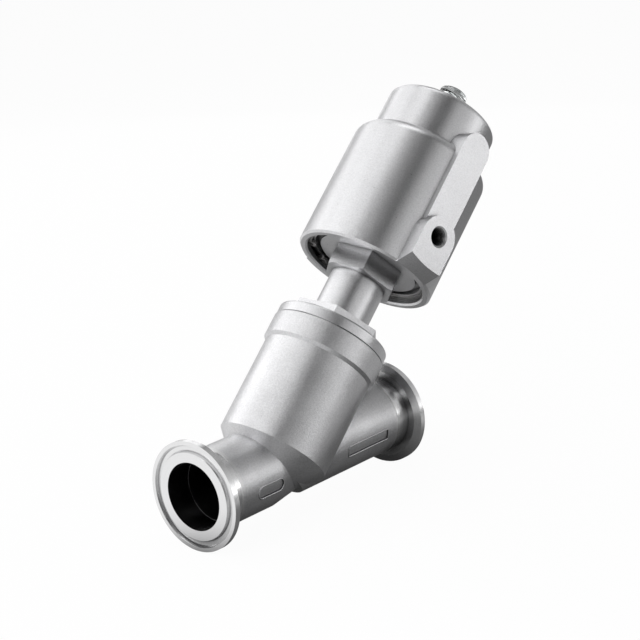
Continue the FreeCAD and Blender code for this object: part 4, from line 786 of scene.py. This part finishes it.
class VALVE_OT_stage(bpy.types.Operator):
    """Sets the floor, the lights, the room and the camera"""
    bl_idname = "valve.stage"
    bl_label = "Studio"

    def execute(self, context):
        _, _, stage = settings(context)
        self.floor(stage)
        self.room(stage)
        self.lights(stage)
        self.camera(stage)
        context.scene.view_settings.view_transform = "Standard"
        return {"FINISHED"}

    def floor(self, stage):
        """A pale floor under the valve."""
        low, high = Vector(CAD_BOX[0]), Vector(CAD_BOX[1])
        middle = (low + high) / 2
        west, east = middle.x - FLOOR_REACH, middle.x + FLOOR_REACH
        south, north = middle.y - FLOOR_REACH, middle.y + FLOOR_REACH
        corners = [(x, y, low.z) for x, y in
                   ((west, south), (east, south), (east, north), (west, north))]
        mesh = bpy.data.meshes.new("studio_floor")
        mesh.from_pydata(corners, [], [(0, 1, 2, 3)])
        mesh.materials.append(self.floor_finish(stage, low.z))
        floor = bpy.data.objects.new("studio_floor", mesh)
        bpy.context.scene.collection.objects.link(floor)

    def floor_finish(self, stage, level):
        """A matte floor that holds the shadow, white to the eye, with painted shade and shadow in
        what metal sees of it.
        """
        recipe = Recipe("pale_floor")
        grain = recipe.noise(recipe.place(), scale=30.0, detail=3.0)
        colour = recipe.mix(grain, dimmed(stage.floor_colour, 0.98), stage.floor_colour)
        matte = recipe.node("ShaderNodeBsdfDiffuse", None, {"Color": colour, "Roughness": 0.5})[0]
        rays = recipe.node("ShaderNodeLightPath")
        from_eye, from_metal, from_glass = rays[0], rays[3], rays[6]
        # Metal sees the painted shade, the eye and glass see plain white
        tone = recipe.mix(from_metal, (1, 1, 1), self.painted_floor_shade(recipe, level))
        white = recipe.node("ShaderNodeEmission", None, {"Color": tone, "Strength": 1.0})[0]
        seen = (from_eye + from_glass) * FLOOR_WHITE + from_metal
        both = recipe.node("ShaderNodeMixShader", None, {0: seen, 1: matte, 2: white})[0]
        recipe.node("ShaderNodeOutputMaterial", None, {"Surface": both})
        return recipe.owner

    def painted_floor_shade(self, recipe, level):
        """Painted shade and shadow in the floor as metal sees it: dim on one side of the valve,
        darkest near its foot on that side, and bright on the other.
        """
        here = recipe.node("ShaderNodeNewGeometry")[0]
        left = recipe.smooth_step(recipe.dot(here, LEFTWARD), *LEFT_EDGE)
        away = recipe.node("ShaderNodeVectorMath", {"operation": "DISTANCE"},
                           {0: here, 1: (*FOOT, level)})[1]
        near, ring, far = [recipe.smooth_step(away, *reach)
                           for reach in (NEAR_RING, MIDDLE_RING, FAR_RING)]
        right = FOOT_SHADOW_TONE + near * NEAR_GAIN - ring * MIDDLE_LOSS
        tone = right + left * (1.0 - right - far * FAR_LOSS)
        return recipe.combine(tone, tone, tone)

    def room(self, stage):
        """A room with a soft glow from three sides, white to the eye."""
        world = bpy.data.worlds.new("studio_room")
        bpy.context.scene.world = world
        recipe = Recipe("studio_room", world)
        direction = recipe.node("ShaderNodeTexCoord")[0]
        glow = 0.0
        for turn, brightness in ROOM_GLOW:
            angle = math.radians(turn)
            facing = recipe.dot(direction, (math.cos(angle), math.sin(angle), 0.0))
            facing = facing.maths("MAXIMUM", facing, 0.0)
            glow = glow + facing * facing * brightness
        soft = recipe.node("ShaderNodeBackground", None,
                           {"Color": recipe.combine(glow, glow, glow),
                            "Strength": stage.ambient})[0]
        white = recipe.node("ShaderNodeBackground", None,
                            {"Color": (1, 1, 1, 1), "Strength": 1.0})[0]
        rays = recipe.node("ShaderNodeLightPath")
        from_eye, from_glass = rays[0], rays[6]
        both = recipe.node("ShaderNodeMixShader", None,
                           {0: from_eye + from_glass, 1: soft, 2: white})[0]
        recipe.node("ShaderNodeOutputWorld", None, {"Surface": both})

    def lights(self, stage):
        """Soft panels round the valve, each as bright as its table says."""
        for name, turn, rise, width, height, brightness in SOFT_PANELS:
            lamp = bpy.data.lights.new(name, "AREA")
            lamp.shape = "RECTANGLE"
            lamp.size = width
            lamp.size_y = height
            lamp.energy = brightness * math.pi * width * height * stage.light_level
            panel = bpy.data.objects.new(name, lamp)
            turn, rise = math.radians(turn), math.radians(rise)
            way = Vector((math.cos(rise) * math.cos(turn), math.cos(rise) * math.sin(turn),
                          math.sin(rise)))
            facing = (-way).to_track_quat("-Z", "Y").to_matrix().to_4x4()
            panel.matrix_world = Matrix.Translation(AIM + way * stage.panel_distance) @ facing
            bpy.context.scene.collection.objects.link(panel)

    def camera(self, stage):
        """The camera where the photograph was taken from."""
        lens = bpy.data.cameras.new("photo_camera")
        lens.sensor_width = 36.0
        lens.lens = stage.focal_length
        lens.clip_start = 0.01
        lens.clip_end = 50.0
        camera = bpy.data.objects.new("photo_camera", lens)
        right = CAMERA_RIGHT.normalized()
        up = (CAMERA_UP - right * CAMERA_UP.dot(right)).normalized()
        back = right.cross(up)
        turn = Matrix((right, up, back)).transposed()
        camera.matrix_world = Matrix.Translation(CAMERA_PLACE) @ turn.to_4x4()
        bpy.context.scene.collection.objects.link(camera)
        bpy.context.scene.camera = camera


class VALVE_PT_panel(bpy.types.Panel):
    """Lists the valve's steps in the sidebar"""
    bl_idname = "VALVE_PT_panel"
    bl_label = "Angle seat valve"
    bl_space_type = "VIEW_3D"
    bl_region_type = "UI"
    bl_category = "Valve"

    def draw(self, context):
        for operator in OPERATORS:
            self.layout.operator(operator.bl_idname)
        for group in settings(context):
            for name in group.__annotations__:
                self.layout.prop(group, name)


GROUPS = {"valve_finish": ValveFinishSettings, "valve_pieces": ValvePieceSettings,
          "valve_stage": ValveStageSettings}
OPERATORS = (VALVE_OT_casting, VALVE_OT_pipe_ends, VALVE_OT_branch_metal, VALVE_OT_casing,
             VALVE_OT_seals, VALVE_OT_spring_metal, VALVE_OT_springs, VALVE_OT_indicator,
             VALVE_OT_welds, VALVE_OT_panel_rims, VALVE_OT_port_threads, VALVE_OT_stage)


def register():
    """Makes the settings, the steps and the panel known."""
    for group in GROUPS.values():
        bpy.utils.register_class(group)
    for name, group in GROUPS.items():
        setattr(bpy.types.Scene, name, bpy.props.PointerProperty(type=group))
    for operator in OPERATORS:
        bpy.utils.register_class(operator)
    bpy.utils.register_class(VALVE_PT_panel)


def unregister():
    """Takes the settings, the steps and the panel away again."""
    bpy.utils.unregister_class(VALVE_PT_panel)
    for operator in reversed(OPERATORS):
        bpy.utils.unregister_class(operator)
    for name in GROUPS:
        delattr(bpy.types.Scene, name)
    for group in GROUPS.values():
        bpy.utils.unregister_class(group)


def main():
    """Runs every step in order."""
    register()
    bpy.ops.valve.casting()
    bpy.ops.valve.pipe_ends()
    bpy.ops.valve.branch_metal()
    bpy.ops.valve.casing()
    bpy.ops.valve.seals()
    bpy.ops.valve.spring_metal()
    bpy.ops.valve.springs()
    bpy.ops.valve.indicator()
    bpy.ops.valve.welds()
    bpy.ops.valve.panel_rims()
    bpy.ops.valve.port_threads()
    bpy.ops.valve.stage()


if __name__ == "__main__":
    main()
